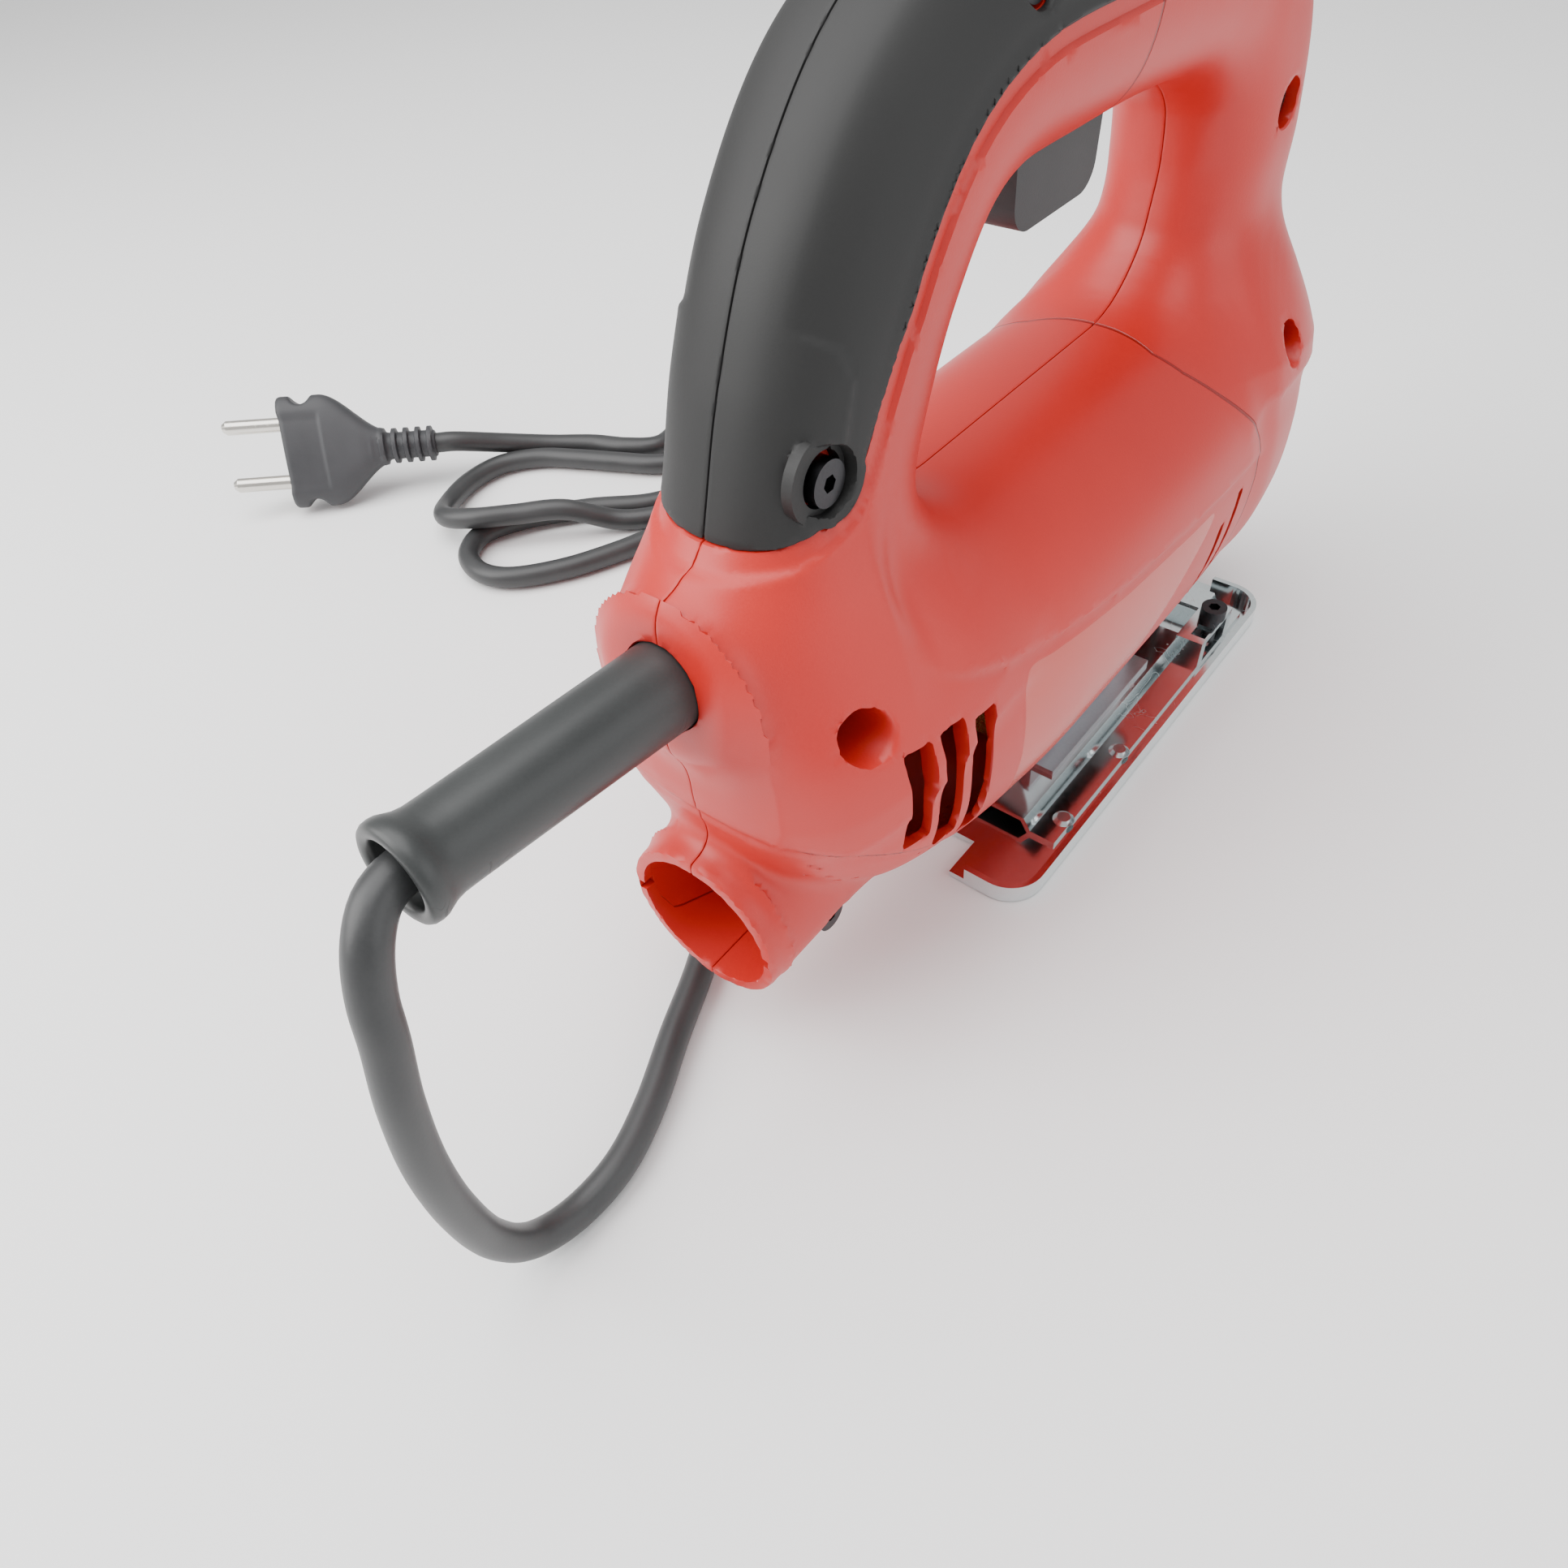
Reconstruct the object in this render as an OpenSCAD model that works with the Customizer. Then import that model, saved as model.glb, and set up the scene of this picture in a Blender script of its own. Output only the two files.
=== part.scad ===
// Corded jigsaw: two-part shell with a D handle, motor, crank drive, tilting sole,
// mains cord and plug. Millimetres. X points forward along the cut, Y to the left, Z up.
// The origin is the centre of the sole's lower face.

/* [Sole] */
// Length of the sole along the cut
sole_l = 133; // [115:1:165]
// Width of the sole
sole_w = 73; // [61:1:90]
// Thickness of the pressed sheet
sheet_t = 1.5; // [1:0.1:2]
// Width of the blade slot, open at the front
blade_slot_w = 12; // [8:1:16]

/* [Body] */
// Length of the body from the rear wall to the nose
body_l = 210; // [200:1:255]
// Greatest width of the body
body_w = 75; // [72:1:92]
// Height of the body's flat back above the ground
body_top = 98.5; // [94:0.5:104]
// Wall thickness of the shell
wall = 2.5; // [2:0.1:3]
// How far the nose reaches ahead of the sole
nose_over = 20; // [10:1:26]

/* [Handle] */
// Width of the handle
grip_w = 35; // [32:1:42]
// Height of the handle's upper side
handle_top = 183; // [176:1:190]

/* [Dust port] */
// Outer diameter of the dust port
port_d = 35.4; // [32:0.2:42]
// Bore of the dust port
port_bore = 30.6; // [26:0.2:31.4]

/* [Drive] */
// Stroke of the plunger
stroke = 18; // [14:1:18]
// Radius of the plunger rod
rod_r = 4.5; // [4:0.1:5]
// Teeth on the drive gear
gear_teeth = 36; // [34:1:36]
// Height of the motor's axis
motor_z = 58; // [56:0.5:59]
// Radius of the motor's field stack
field_r = 26.5; // [24:0.5:27]

/* [Cord] */
// Diameter of the mains cord
cord_d = 6.8; // [6:0.1:7.6]
// Distance between the plug's pins
pin_gap = 19; // [19:1:19]

/* [Hidden] */

eps = 0.01;
fine = 64;          // facets of exact round features
mesh_fn = 32;       // facets of rounds inside a shell mesh
gap = 0.3;          // space between pieces that move past each other
run_gap = 0.05;     // radial clearance of a running fit

// --- places along the body ---
nose_x = sole_l / 2 + nose_over;
rear_x = nose_x - body_l;
body_low = 23;
body_h = body_top - body_low;
blade_x = 43;       // axis of the plunger and the blade
tilt_z = 24;        // axis that the sole tilts about
foot_r = 17.7;      // underside of the foot, round about the tilt axis
swing_room = 3.6;   // room beside the foot for the cradle's raised side

// Body profile: [place along the body, width, top and bottom as shares of the full size]
BODY = [
    [0, 0.30, 0.93, 0.50], [0.005, 0.50, 0.96, 0.44], [0.017, 0.62, 0.98, 0.37],
    [0.036, 0.72, 0.99, 0.29], [0.064, 0.80, 1, 0.21], [0.107, 0.875, 1, 0.13],
    [0.164, 0.93, 1, 0.07], [0.245, 0.97, 1, 0.02], [0.36, 1, 1, 0], [0.56, 1, 1, 0],
    [0.73, 0.975, 1, 0], [0.83, 0.91, 0.99, 0], [0.90, 0.80, 0.97, 0.04],
    [0.943, 0.69, 0.94, 0.10], [0.974, 0.52, 0.88, 0.20], [0.993, 0.34, 0.79, 0.33],
    [1, 0.20, 0.72, 0.42]
];
body_round = 2.3;   // exponent of the body's superellipse section
body_sides = 36;

// Handle: [x, z, half thickness in the XZ plane, half width] along the D's middle line
bar_t = 18.5;
bar_z = handle_top - bar_t;
grip_b = grip_w / 2;
HANDLE = [
    [rear_x + 34, 78, 29, 30], [rear_x + 31, 92, 26, 25], [rear_x + 30, 104, 22.5, 20],
    [rear_x + 31.5, 116, 20, grip_b], [rear_x + 36, 130, 19.5, grip_b],
    [rear_x + 44, 145, 19.5, grip_b], [rear_x + 56, bar_z - 6.5, 19, grip_b],
    [rear_x + 72, bar_z - 0.5, bar_t, grip_b], [rear_x + 95, bar_z, bar_t, grip_b],
    [rear_x + 122, bar_z - 1, bar_t, grip_b], [nose_x - 66, bar_z - 4, bar_t, grip_b],
    [nose_x - 51, bar_z - 11, bar_t, grip_b], [nose_x - 41, bar_z - 23, bar_t, grip_b],
    [nose_x - 37, bar_z - 39, 19.5, grip_b], [nose_x - 37, 111, 22, grip_b],
    [nose_x - 38, 98, 27, 23], [nose_x - 40, 84, 32, 29]
];
handle_round = 2.5;
handle_sides = 24;

// --- motor and drive ---
tooth_module = 0.8;
pinion_teeth = 8;
pressure_angle = 20;
gear_z = motor_z + tooth_module * (pinion_teeth + gear_teeth) / 2;
web_x = 12;         // rear face of the gear case's bearing web
web_t = 8;
gear_x = 23;
gear_t = 8;
yoke_x = 36;
crank_r = stroke / 2;
crank_pin_r = 3;
axle_r = 3;
shaft_r = 4;
front_bearing_r = 11;
front_bearing_t = 7;
rear_shaft_r = 3.5;
rear_bearing_r = 9.5;
rear_bearing_x = -84;
rear_bearing_t = 6;
core_r = 16;
field_x = -52;
field_l = 40;
air_gap = 0.6;
commutator_r = 11;
commutator_x = -72;
commutator_l = 14;
bush_r = 7;
bush_low_z = 48;
bush_low_t = 10;
bush_top_z = 95;
bush_top_t = 9;
roller_r = 5;
roller_x = 31.2;
roller_z = 15;
gear_pitch_r = tooth_module * gear_teeth / 2;
gear_root = gear_pitch_r - 1;
gear_tip = gear_pitch_r + 0.5;
pinion_root = tooth_module * pinion_teeth / 2 - 0.85;
pinion_tip = tooth_module * pinion_teeth / 2 + 0.75;
fan_x = 0;
fan_r = 22;
brush_x = -68;
brush_w = 6;
clamp_z = 30;       // lower end of the plunger rod
clamp_h = 16;
clamp_r = 6.5;
clamp_screw_r = 2.5;
guard_x = 58;
guard_r = 11;

// --- dust port, cord outlet ---
port_z = 36.8;
port_len = 24;      // length of the port's tube, to its end inside the body
port_deep = 17;     // depth of the bore
duct_r = 9;         // narrower duct on from the bore
port_x = rear_x - 4.9;
collar_z = 96.5;
collar_r = 13;
sleeve_tilt = 5;
sleeve_r = 7.6;
sleeve_out = 51.4;  // length of the sleeve outside the collar
mouth_deep = 4;
mouth_r = 5.6;
collar_x = rear_x - 1.5;
lead_z = collar_z - 1;
lead_r = 3.4;

// Screws from the right: [x, z, recess radius, depth of the head's seat, length]
seam_seat = -12;    // seat of a screw that joins the two halves
case_seat = -23;    // seat of the screw into the gear case
seat_t = 1;         // floor under a screw's head
SCREWS = [
    [rear_x + 15, 86, 5, seam_seat, 22], [rear_x + 22.5, 124, 5.4, seam_seat, 22],
    [rear_x + 16, 28, 4, seam_seat, 22], [blade_x + 2.5, 86.5, 4.6, case_seat, 8],
    [nose_x - 38, 132, 4.6, seam_seat, 22], [rear_x + 71, handle_top - 9, 4.2, seam_seat, 22]
];
screw_r = 1.8;
boss_r = 4.2;

// Trigger, lock button and speed dial
trigger_x = rear_x + 84;
trigger_l = 28;
trigger_w = 13;
trigger_drop = 12;
bar_low = bar_z - bar_t;
lock_x = rear_x + 123;
lock_r = 5;
dial_x = nose_x - 72;
dial_r = 12;
dial_w = 6;
dial_z = handle_top - 10;

// --- cord route: table height is one cord radius ---
lay = cord_d / 2 + 0.1;
over = lay + cord_d + 0.2;
lip_x = collar_x - sleeve_out * cos(sleeve_tilt);
lip_z = collar_z + sleeve_out * sin(sleeve_tilt);
mouth_x = lip_x + mouth_deep * cos(sleeve_tilt);
mouth_z = lip_z - mouth_deep * sin(sleeve_tilt);
relief_end = [-19.3, 228.1, 14.2];
plug_dir = [-0.75, 0.66, 0.09];
ROUTE = concat(
    // out of the sleeve and down to the ground
    [[mouth_x, 0, mouth_z], [lip_x, 0, lip_z], [lip_x - 4, -1, lip_z - 0.8],
     [lip_x - 8, -3, lip_z - 4], [lip_x - 11, -4.5, lip_z - 10], [lip_x - 13, -6, lip_z - 17], [lip_x - 16, -7, 72],
     [lip_x - 18, -7, 56], [lip_x - 18, -6, 38], [lip_x - 16, -5, 20], [lip_x - 11, -5, 8]],
    // under the dust port and along the left side
    [[-178, -6, lay], [-166, -6, lay], [-153, -2, lay], [-138, 5, lay], [-122, 12, lay],
     [-104, 22, lay], [-88, 36, lay], [-70, 50, lay], [-46, 60, lay], [-20, 68, lay],
     [4, 78, lay], [20, 92, lay], [23, 109, lay], [13, 124, lay], [-4, 133, lay]],
    // first bight
    [[-20, 139, lay], [-36, 147, lay], [-49, 158, lay], [-53, 169, lay], [-49, 180, lay],
     [-38, 185, lay], [-24, 179, lay], [-8, 165, lay], [6, 149, lay], [22, 142, lay]],
    // loop beside the body
    [[40, 140, lay], [56, 135, lay], [64, 124, lay], [56, 114, lay], [42, 119, lay],
     [27, 130, lay], [10, 137, lay], [-1, 144, lay], [-9, 152, lay + 1], [-20, 163, over]],
    // second bight, over the first
    [[-31, 175, over], [-40, 185, over], [-43, 197, over - 2], [-34, 208, lay + 1],
     [-20, 214, lay], [-6, 213, lay], [5, 204, lay], [12, 191, lay], [18, 178, lay]],
    // last loop and the lead to the plug
    [[25, 164, lay], [36, 154, lay], [52, 150, lay], [66, 157, lay], [68, 170, lay],
     [58, 178, lay], [45, 174, lay], [34, 173, lay], [27, 182, lay], [22, 194, lay],
     [12.5, 206, lay + 1], [-0.5, 216, lay + 5]],
    [relief_end - 7 * unit(plug_dir), relief_end]
);

// --- plug ---
plug_turn = atan2(plug_dir[1], plug_dir[0]);
plug_rise = asin(plug_dir[2] / norm(plug_dir));
plug_roll = -62;
relief_l = 18;
plug_l = 33;
plug_w = 37;
plug_t = 13;
pin_r = 2.4;
pin_l = 19;

// --- sole ---
rim_h = 5;
channel_w = 60;
channel_top = 6;
channel_x = -46;
channel_l = 104;
crown_w = 49;
notch_w = 34;
notch_l = 11;
fence_x = 38.5;
fence_y = 30;
rivet_xs = [-38, -10];
rivet_y = 31;
cradle_x = -30;
cradle_l = 50;
cradle_gap = 0.3;
shoe_x = -15;
shoe_l = 21;
shoe_r = 23.2;
tilt_screw_xs = [-10, 1];
tilt_screw_r = 2.5;
tilt_head_r = 4;
slot_angle = 54.5;
corner_r = 9;
fence_top = 7.6;
fence_screw_r = 2;

// ---------------------------------------------------------------- functions

// A value interpolated from column c of a profile table
function column(table, c) = [for (row = table) [row[0], row[c]]];

// Superellipse point at angle a: half sizes p and q, exponent n
function rounded(a, p, q, n) = let (c = cos(a), s = sin(a))
    [p * sign(c) * pow(abs(c), 2 / n), q * sign(s) * pow(abs(s), 2 / n)];

// Ring of the body at place u, drawn in by a wall
function body_ring(u, x, inset) = let (
        w = max(1, body_w / 2 * lookup(u, column(BODY, 1)) - inset),
        top = body_low + body_h * lookup(u, column(BODY, 2)) - inset,
        low = body_low + body_h * lookup(u, column(BODY, 3)) + inset
    ) [for (i = [0:body_sides - 1])
        let (p = rounded(360 * i / body_sides, w, max(1, top - low) / 2, body_round))
        [x, p[0], (top + low) / 2 + p[1]]];

// Side faces and both ends of rings stacked in order
function ring_faces(rings, n) = concat(
    [[for (i = [0:n - 1]) i]],
    [for (r = [0:rings - 2], i = [0:n - 1], k = [0, 1])
        let (a = r * n + i, b = r * n + (i + 1) % n)
        k == 0 ? [a, a + n, b] : [b, a + n, b + n]],
    [[for (i = [n - 1:-1:0]) (rings - 1) * n + i]]);

function flat(lists) = [for (l = lists) each l];
function unit(v) = v / norm(v);

// Direction of a path of points at point i
function heading(path, i) = unit(path[min(i + 1, len(path) - 1)] - path[max(i - 1, 0)]);

// Ring of the handle at row i, drawn in by a wall
function handle_ring(i, inset) = let (
        path = [for (row = HANDLE) [row[0], row[1]]],
        d = heading(path, i),
        across = [-d[1], d[0]],
        row = HANDLE[i]
    ) [for (k = [0:handle_sides - 1])
        let (p = rounded(360 * k / handle_sides, row[2] - inset, row[3] - inset, handle_round))
        [row[0] + across[0] * p[0], -p[1], row[1] + across[1] * p[0]]];

// Side direction carried along a path without twist
function carried(path, i, side) = i == 0 ? side :
    let (d = heading(path, i), s = carried(path, i - 1, side)) unit(s - d * (s * d));

// Ring of a round tube at point i of its path
function tube_ring(path, i, r, n, side) = let (
        d = heading(path, i), s = unit(carried(path, i, side) - d * (carried(path, i, side) * d)),
        t = cross(d, s)
    ) [for (k = [0:n - 1]) path[i] + r * (cos(360 * k / n) * s + sin(360 * k / n) * t)];

// Involute of the pressure angle
function inv(a) = tan(a) * 180 / PI - a;

// Half angle of a tooth at radius r: pitch radius rp, base radius rb
function tooth_half(r, rp, rb, teeth, thin) = 360 / teeth / 4 * thin + inv(pressure_angle)
    - (r > rb ? inv(acos(rb / r)) : 0);

// Outline of a spur gear with its first tooth along +X
function gear_outline(teeth, root, tip, thin) = let (
        rp = tooth_module * teeth / 2, rb = rp * cos(pressure_angle),
        low = max(rb, root), steps = 3
    ) flat([for (t = [0:teeth - 1]) let (mid = 360 * t / teeth) concat(
        [[root, mid - tooth_half(low, rp, rb, teeth, thin)]],
        [for (s = [0:steps]) let (r = low + (tip - low) * s / steps)
            [r, mid - tooth_half(r, rp, rb, teeth, thin)]],
        [for (s = [steps:-1:0]) let (r = low + (tip - low) * s / steps)
            [r, mid + tooth_half(r, rp, rb, teeth, thin)]],
        [[root, mid + tooth_half(low, rp, rb, teeth, thin)]])]);

function polar(list) = [for (p = list) [p[0] * cos(p[1]), p[0] * sin(p[1])]];

// ---------------------------------------------------------------- shared shapes

module along_x(x, l, r) {
    translate([x, 0, 0]) rotate([0, 90, 0]) cylinder(h = l, r = r, $fn = fine);
}

module along_y(y, l, r) {
    translate([0, y, 0]) rotate([-90, 0, 0]) cylinder(h = l, r = r, $fn = fine);
}

module block(x, y, z) {
    translate([x[0], y[0], z[0]]) cube([x[1] - x[0], y[1] - y[0], z[1] - z[0]]);
}

module tube(path, r, n, side) {
    polyhedron(
        flat([for (i = [0:len(path) - 1]) tube_ring(path, i, r, n, side)]),
        ring_faces(len(path), n), convexity = 10);
}

module body_solid(inset) {
    inner = inset / body_l;
    stops = [for (row = BODY) inner + row[0] * (1 - 2 * inner)];
    polyhedron(
        flat([for (u = stops) body_ring(u, rear_x + u * body_l, inset)]),
        ring_faces(len(BODY), body_sides), convexity = 4);
}

module handle_solid(inset) {
    polyhedron(
        flat([for (i = [0:len(HANDLE) - 1]) handle_ring(i, inset)]),
        ring_faces(len(HANDLE), handle_sides), convexity = 6);
}

module collar(r, x, l) {
    translate([collar_x, 0, collar_z]) rotate([0, sleeve_tilt, 0])
        translate([x, 0, 0]) rotate([0, 90, 0]) cylinder(h = l, r = r, $fn = mesh_fn);
}

// Outer shape of the red shell without the port
module shell_outside() {
    body_solid(0);
    handle_solid(0);
    collar(collar_r, 0, 22);
}

module shell_inside() {
    body_solid(wall);
    handle_solid(wall);
}

// Half space on one side of the seam: side is -1 on the right and 1 on the left
module half_space(side) {
    translate([-300, side > 0 ? 0 : -100, -10]) cube([600, 100, 300]);
}

// Air slots in the side: [x, low, high]
VENTS = [[-106, 60, 81], [-97, 54, 80], [-88, 48, 77], [24, 34, 60], [31, 38, 62]];
vent_w = 6.5;
thin_vent_w = 2.6;

module vents() {
    for (v = VENTS) {
        w = v[0] < 0 ? vent_w : thin_vent_w;
        for (side = [-1, 1]) block([v[0] + rear_x + 123.5, v[0] + rear_x + 123.5 + w],
            side > 0 ? [20, 50] : [-50, -20], [v[1], v[2]]);
    }
}

// Ribs inside the shell that hold the bearings, the field stack, the brushes and the switch
// Half width over the ribs, which end inside the wall
rib_out = body_w / 2 - 1.5;

module ribs() {
    block([rear_bearing_x, rear_bearing_x + rear_bearing_t], [4 - rib_out, rib_out - 4],
        [44, 74]);
    for (x = [field_x + 4, field_x + field_l - 7])
        block([x, x + 3], [1.5 - rib_out, rib_out - 1.5], [42, 76]);
    block([rear_x + 24, rear_x + 31], [6 - rib_out, rib_out - 6], [84, lead_z - lead_r]);
    for (side = [-1, 1]) scale([1, side, 1]) {
        block([brush_x, brush_x + brush_w], [27, rib_out], [motor_z - 4, motor_z + 4]);
        block([web_x + 1, web_x + web_t - 1], [22, rib_out], [42, 80]);
        for (x = [trigger_x, trigger_x + 20])
            block([x, x + 3], [12, grip_b], [bar_low + 12, bar_low + 28]);
    }
}

module motor_room() {
    translate([0, 0, motor_z]) {
        along_x(field_x, field_l, field_r + run_gap);
        along_x(rear_bearing_x - 1, rear_bearing_t + 2, rear_bearing_r + run_gap);
    }
    for (y = [-8, 8]) translate([rear_x + 27.5, y, collar_z - 12])
        cylinder(h = 20, r = 1.6, $fn = mesh_fn);
}

// Openings below for the foot and for the blade clamp, and in the bar for the trigger and dial
module shell_openings() {
    block([cradle_x - 1, web_x + web_t + 1], [-foot_r - swing_room, foot_r + swing_room], [0, 34]);
    block([web_x + web_t, 70], [-17, 17], [0, 47]);
    block([trigger_x - 0.6, trigger_x + trigger_l + 0.6],
        [-trigger_w / 2 - 0.5, trigger_w / 2 + 0.5], [bar_low - 4, bar_low + 8]);
    dial_gap();
    translate([dial_x, 0, dial_z]) along_y(-5.4, 10.8, 2.2);
    translate([lock_x, 0, bar_z - 3]) along_y(0, 40, lock_r + 0.4);
    collar(sleeve_r + 0.1, -10, 40);
}

// Boss columns across the seam, and a tube round each screw's recess
module bosses() {
    for (s = SCREWS) translate([s[0], 0, s[1]]) {
        if (s[3] == seam_seat) along_y(seam_seat, 62, boss_r);
        along_y(-50, 50 + s[3] + seat_t, s[2] + 1.6);
    }
}

module screw_holes() {
    for (s = SCREWS) translate([s[0], 0, s[1]]) {
        along_y(s[3] - 1, s[4] + 3, screw_r);
        along_y(-60, 60 + s[3], s[2]);
    }
}

// The grip's recess in the shell, and the pad that fills it
pad_t = 1.6;
PAD_ROWS = [3, 10];     // first and last rows of the handle that the pad covers
pad_inner = 20;         // width of bare shell left beside the finger gap

module pad_zone() {
    rows = [for (i = [PAD_ROWS[0]:PAD_ROWS[1]]) HANDLE[i]];
    path = [for (row = rows) [row[0], row[1]]];
    lower = [for (i = [0:len(path) - 1]) let (d = heading(path, i), row = rows[i])
        path[i] + [d[1], -d[0]] * (row[2] - pad_inner)];
    upper = [for (i = [len(path) - 1:-1:0]) let (d = heading(path, i), row = rows[i])
        path[i] + [-d[1], d[0]] * (row[2] + 6)];
    rotate([90, 0, 0]) linear_extrude(80, center = true) polygon(concat(lower, upper));
}

module pad(side) {
    resize([0, 0, 0]) difference() {
        intersection() {
            handle_solid(0);
            pad_zone();
            half_space(side);
        }
        handle_solid(pad_t);
        dial_gap();
        screw_holes();
        translate([lock_x, 0, bar_z - 3]) along_y(0, 40, lock_r + 0.8);
    }
}

module dial_gap() {
    block([dial_x - dial_r - 1, dial_x + dial_r + 1], [-dial_w / 2 - 0.4, dial_w / 2 + 0.4],
        [dial_z - dial_r - 1, handle_top + 5]);
}

module shell_half(side) {
    difference() {
        union() {
            resize([0, 0, 0]) difference() {
                union() {
                    difference() {
                        shell_outside();
                        shell_inside();
                    }
                    intersection() {
                        union() {
                            ribs();
                            bosses();
                        }
                        shell_outside();
                    }
                }
                motor_room();
                vents();
                shell_openings();
                screw_holes();
                difference() {
                    intersection() {
                        handle_solid(-1);
                        pad_zone();
                    }
                    handle_solid(pad_t);
                }
                translate([0, 0, port_z]) along_x(port_x - 1, port_len + 1, port_d / 2 - 1);
                half_space(-side);
            }
            difference() {
                translate([0, 0, port_z]) along_x(port_x, port_len, port_d / 2);
                half_space(-side);
                screw_holes();
            }
        }
        translate([0, 0, port_z]) along_x(port_x - 1, port_deep + 1, port_bore / 2);
        translate([0, 0, port_z + 6]) along_x(port_x, port_len + 5, duct_r);
    }
}

// ---------------------------------------------------------------- shell

module housing_right() {
    color([0.80, 0.20, 0.17]) shell_half(-1);
}

module housing_left() {
    color([0.80, 0.20, 0.17]) shell_half(1);
}

module grip_pad_right() {
    color([0.16, 0.16, 0.16]) pad(-1);
}

module grip_pad_left() {
    color([0.16, 0.16, 0.16]) pad(1);
}

module housing_screws() {
    color([0.25, 0.25, 0.27]) for (s = SCREWS) translate([s[0], 0, s[1]]) {
        along_y(s[3] - 1, s[4] + 1, screw_r);
        difference() {
            along_y(s[3] - 3, 3, screw_r * 2);
            rotate([90, 0, 0]) translate([0, 0, 1.6 - s[3]])
                cylinder(h = 2, r = 1.4, $fn = 6);
        }
    }
}

// ---------------------------------------------------------------- motor

module gear_case() {
    color([0.66, 0.67, 0.69]) difference() {
        union() {
            block([web_x, web_x + web_t], [-22, 22], [36, 84]);
            block([web_x, web_x + web_t], [-14, 14], [84, 91]);
            block([cradle_x, web_x + web_t], [1 - foot_r, foot_r - 1], [tilt_z, 30]);
            block([web_x, web_x + web_t], [-15, 15], [24, 36]);
            intersection() {
                translate([0, 0, tilt_z]) along_x(cradle_x, web_x + web_t - cradle_x, foot_r);
                block([cradle_x, 60], [-20, 20], [0, tilt_z]);
            }
            block([web_x, 54], [-22, 22], [bush_low_z, bush_low_z + bush_low_t]);
            block([53, guard_x + 4], [-15, 15], [bush_low_z, bush_low_z + bush_low_t]);
            for (side = [-1, 1]) block([web_x, 54],
                side > 0 ? [18.5, 22] : [-22, -18.5], [bush_low_z, 80]);
            block([50, 54], [-22, 22], [bush_low_z, 80]);
            block([blade_x - 2, 54], [case_seat + seat_t, -14], [78, 92]);
            block([50, 54], [-9, 9], [80, bush_top_z + bush_top_t]);
            block([blade_x - 8, 54], [-9, 9], [bush_top_z, bush_top_z + bush_top_t]);
        }
        translate([0, 0, motor_z]) {
            along_x(web_x - 1, front_bearing_t + 1, front_bearing_r);
            along_x(web_x, 20, front_bearing_r - 3);
        }
        translate([0, 0, gear_z]) along_x(web_x - 1, web_t + 2, axle_r);
        translate([0, 0, motor_z]) along_x(web_x + web_t, 13, 6);
        translate([blade_x, 0, bush_low_z - 1])
            cylinder(h = bush_low_t + 2, r = bush_r, $fn = fine);
        translate([blade_x, 0, bush_top_z - 1])
            cylinder(h = bush_top_t + 2, r = bush_r, $fn = fine);
        for (x = tilt_screw_xs) translate([x, 0, 0])
            cylinder(h = 29, r = tilt_screw_r, $fn = fine);
        for (side = [-1, 1]) translate([guard_x, side * guard_r, 20])
            cylinder(h = 36, r = 1.5, $fn = fine);
        translate([SCREWS[3][0], 0, SCREWS[3][1]]) along_y(case_seat - 1, 9, screw_r);
    }
}

module field_stack() {
    color([0.45, 0.46, 0.48]) translate([0, 0, motor_z]) difference() {
        along_x(field_x, field_l, field_r);
        along_x(field_x - 1, field_l + 2, core_r + air_gap);
        for (side = [-1, 1]) block([field_x - 1, field_x + field_l + 1],
            side > 0 ? [core_r - 1, 22] : [-22, 1 - core_r], [-9, 9]);
    }
}

module field_windings() {
    color([0.72, 0.40, 0.20]) translate([0, 0, motor_z]) for (side = [-1, 1]) {
        block([field_x - 6, field_x + field_l + 6],
            side > 0 ? [core_r + 1.4, 22] : [-22, -core_r - 1.4], [-9, 9]);
    }
}

module armature_core() {
    slots = 12;
    color([0.5, 0.5, 0.52]) translate([0, 0, motor_z]) difference() {
        along_x(field_x + 2, field_l - 4, core_r);
        along_x(field_x, field_l, shaft_r);
        for (i = [0:slots - 1]) rotate([i * 360 / slots, 0, 0])
            block([field_x, field_x + field_l], [-1, 1], [core_r - 5, core_r + 1]);
    }
}

module armature_windings() {
    color([0.74, 0.42, 0.22]) translate([0, 0, motor_z])
        for (x = [field_x + 2 - 6, field_x + field_l - 2]) difference() {
            along_x(x, 6, core_r - 2.5);
            along_x(x - 1, 8, shaft_r);
        }
}

module motor_shaft() {
    rear = rear_bearing_x - 2;
    color([0.75, 0.76, 0.78]) translate([0, 0, motor_z]) {
        along_x(rear, commutator_x - rear, rear_shaft_r);
        along_x(commutator_x, web_x + web_t - commutator_x, shaft_r);
        translate([web_x + web_t, 0, 0]) rotate([0, 90, 0]) rotate([0, 0, 180])
            linear_extrude(gear_x + gear_t + 1 - web_x - web_t) polygon(polar(gear_outline(
                pinion_teeth, pinion_root, pinion_tip, 0.86)));
    }
}

module commutator() {
    bars = 16;
    color([0.70, 0.42, 0.25]) translate([0, 0, motor_z]) difference() {
        along_x(commutator_x, commutator_l, commutator_r);
        along_x(commutator_x - 1, commutator_l + 2, shaft_r);
        for (i = [0:bars - 1]) rotate([i * 360 / bars, 0, 0])
            block([commutator_x - 1, commutator_x + commutator_l - 2], [-0.3, 0.3],
                [commutator_r - 1.5, commutator_r + 1]);
    }
}

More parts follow.
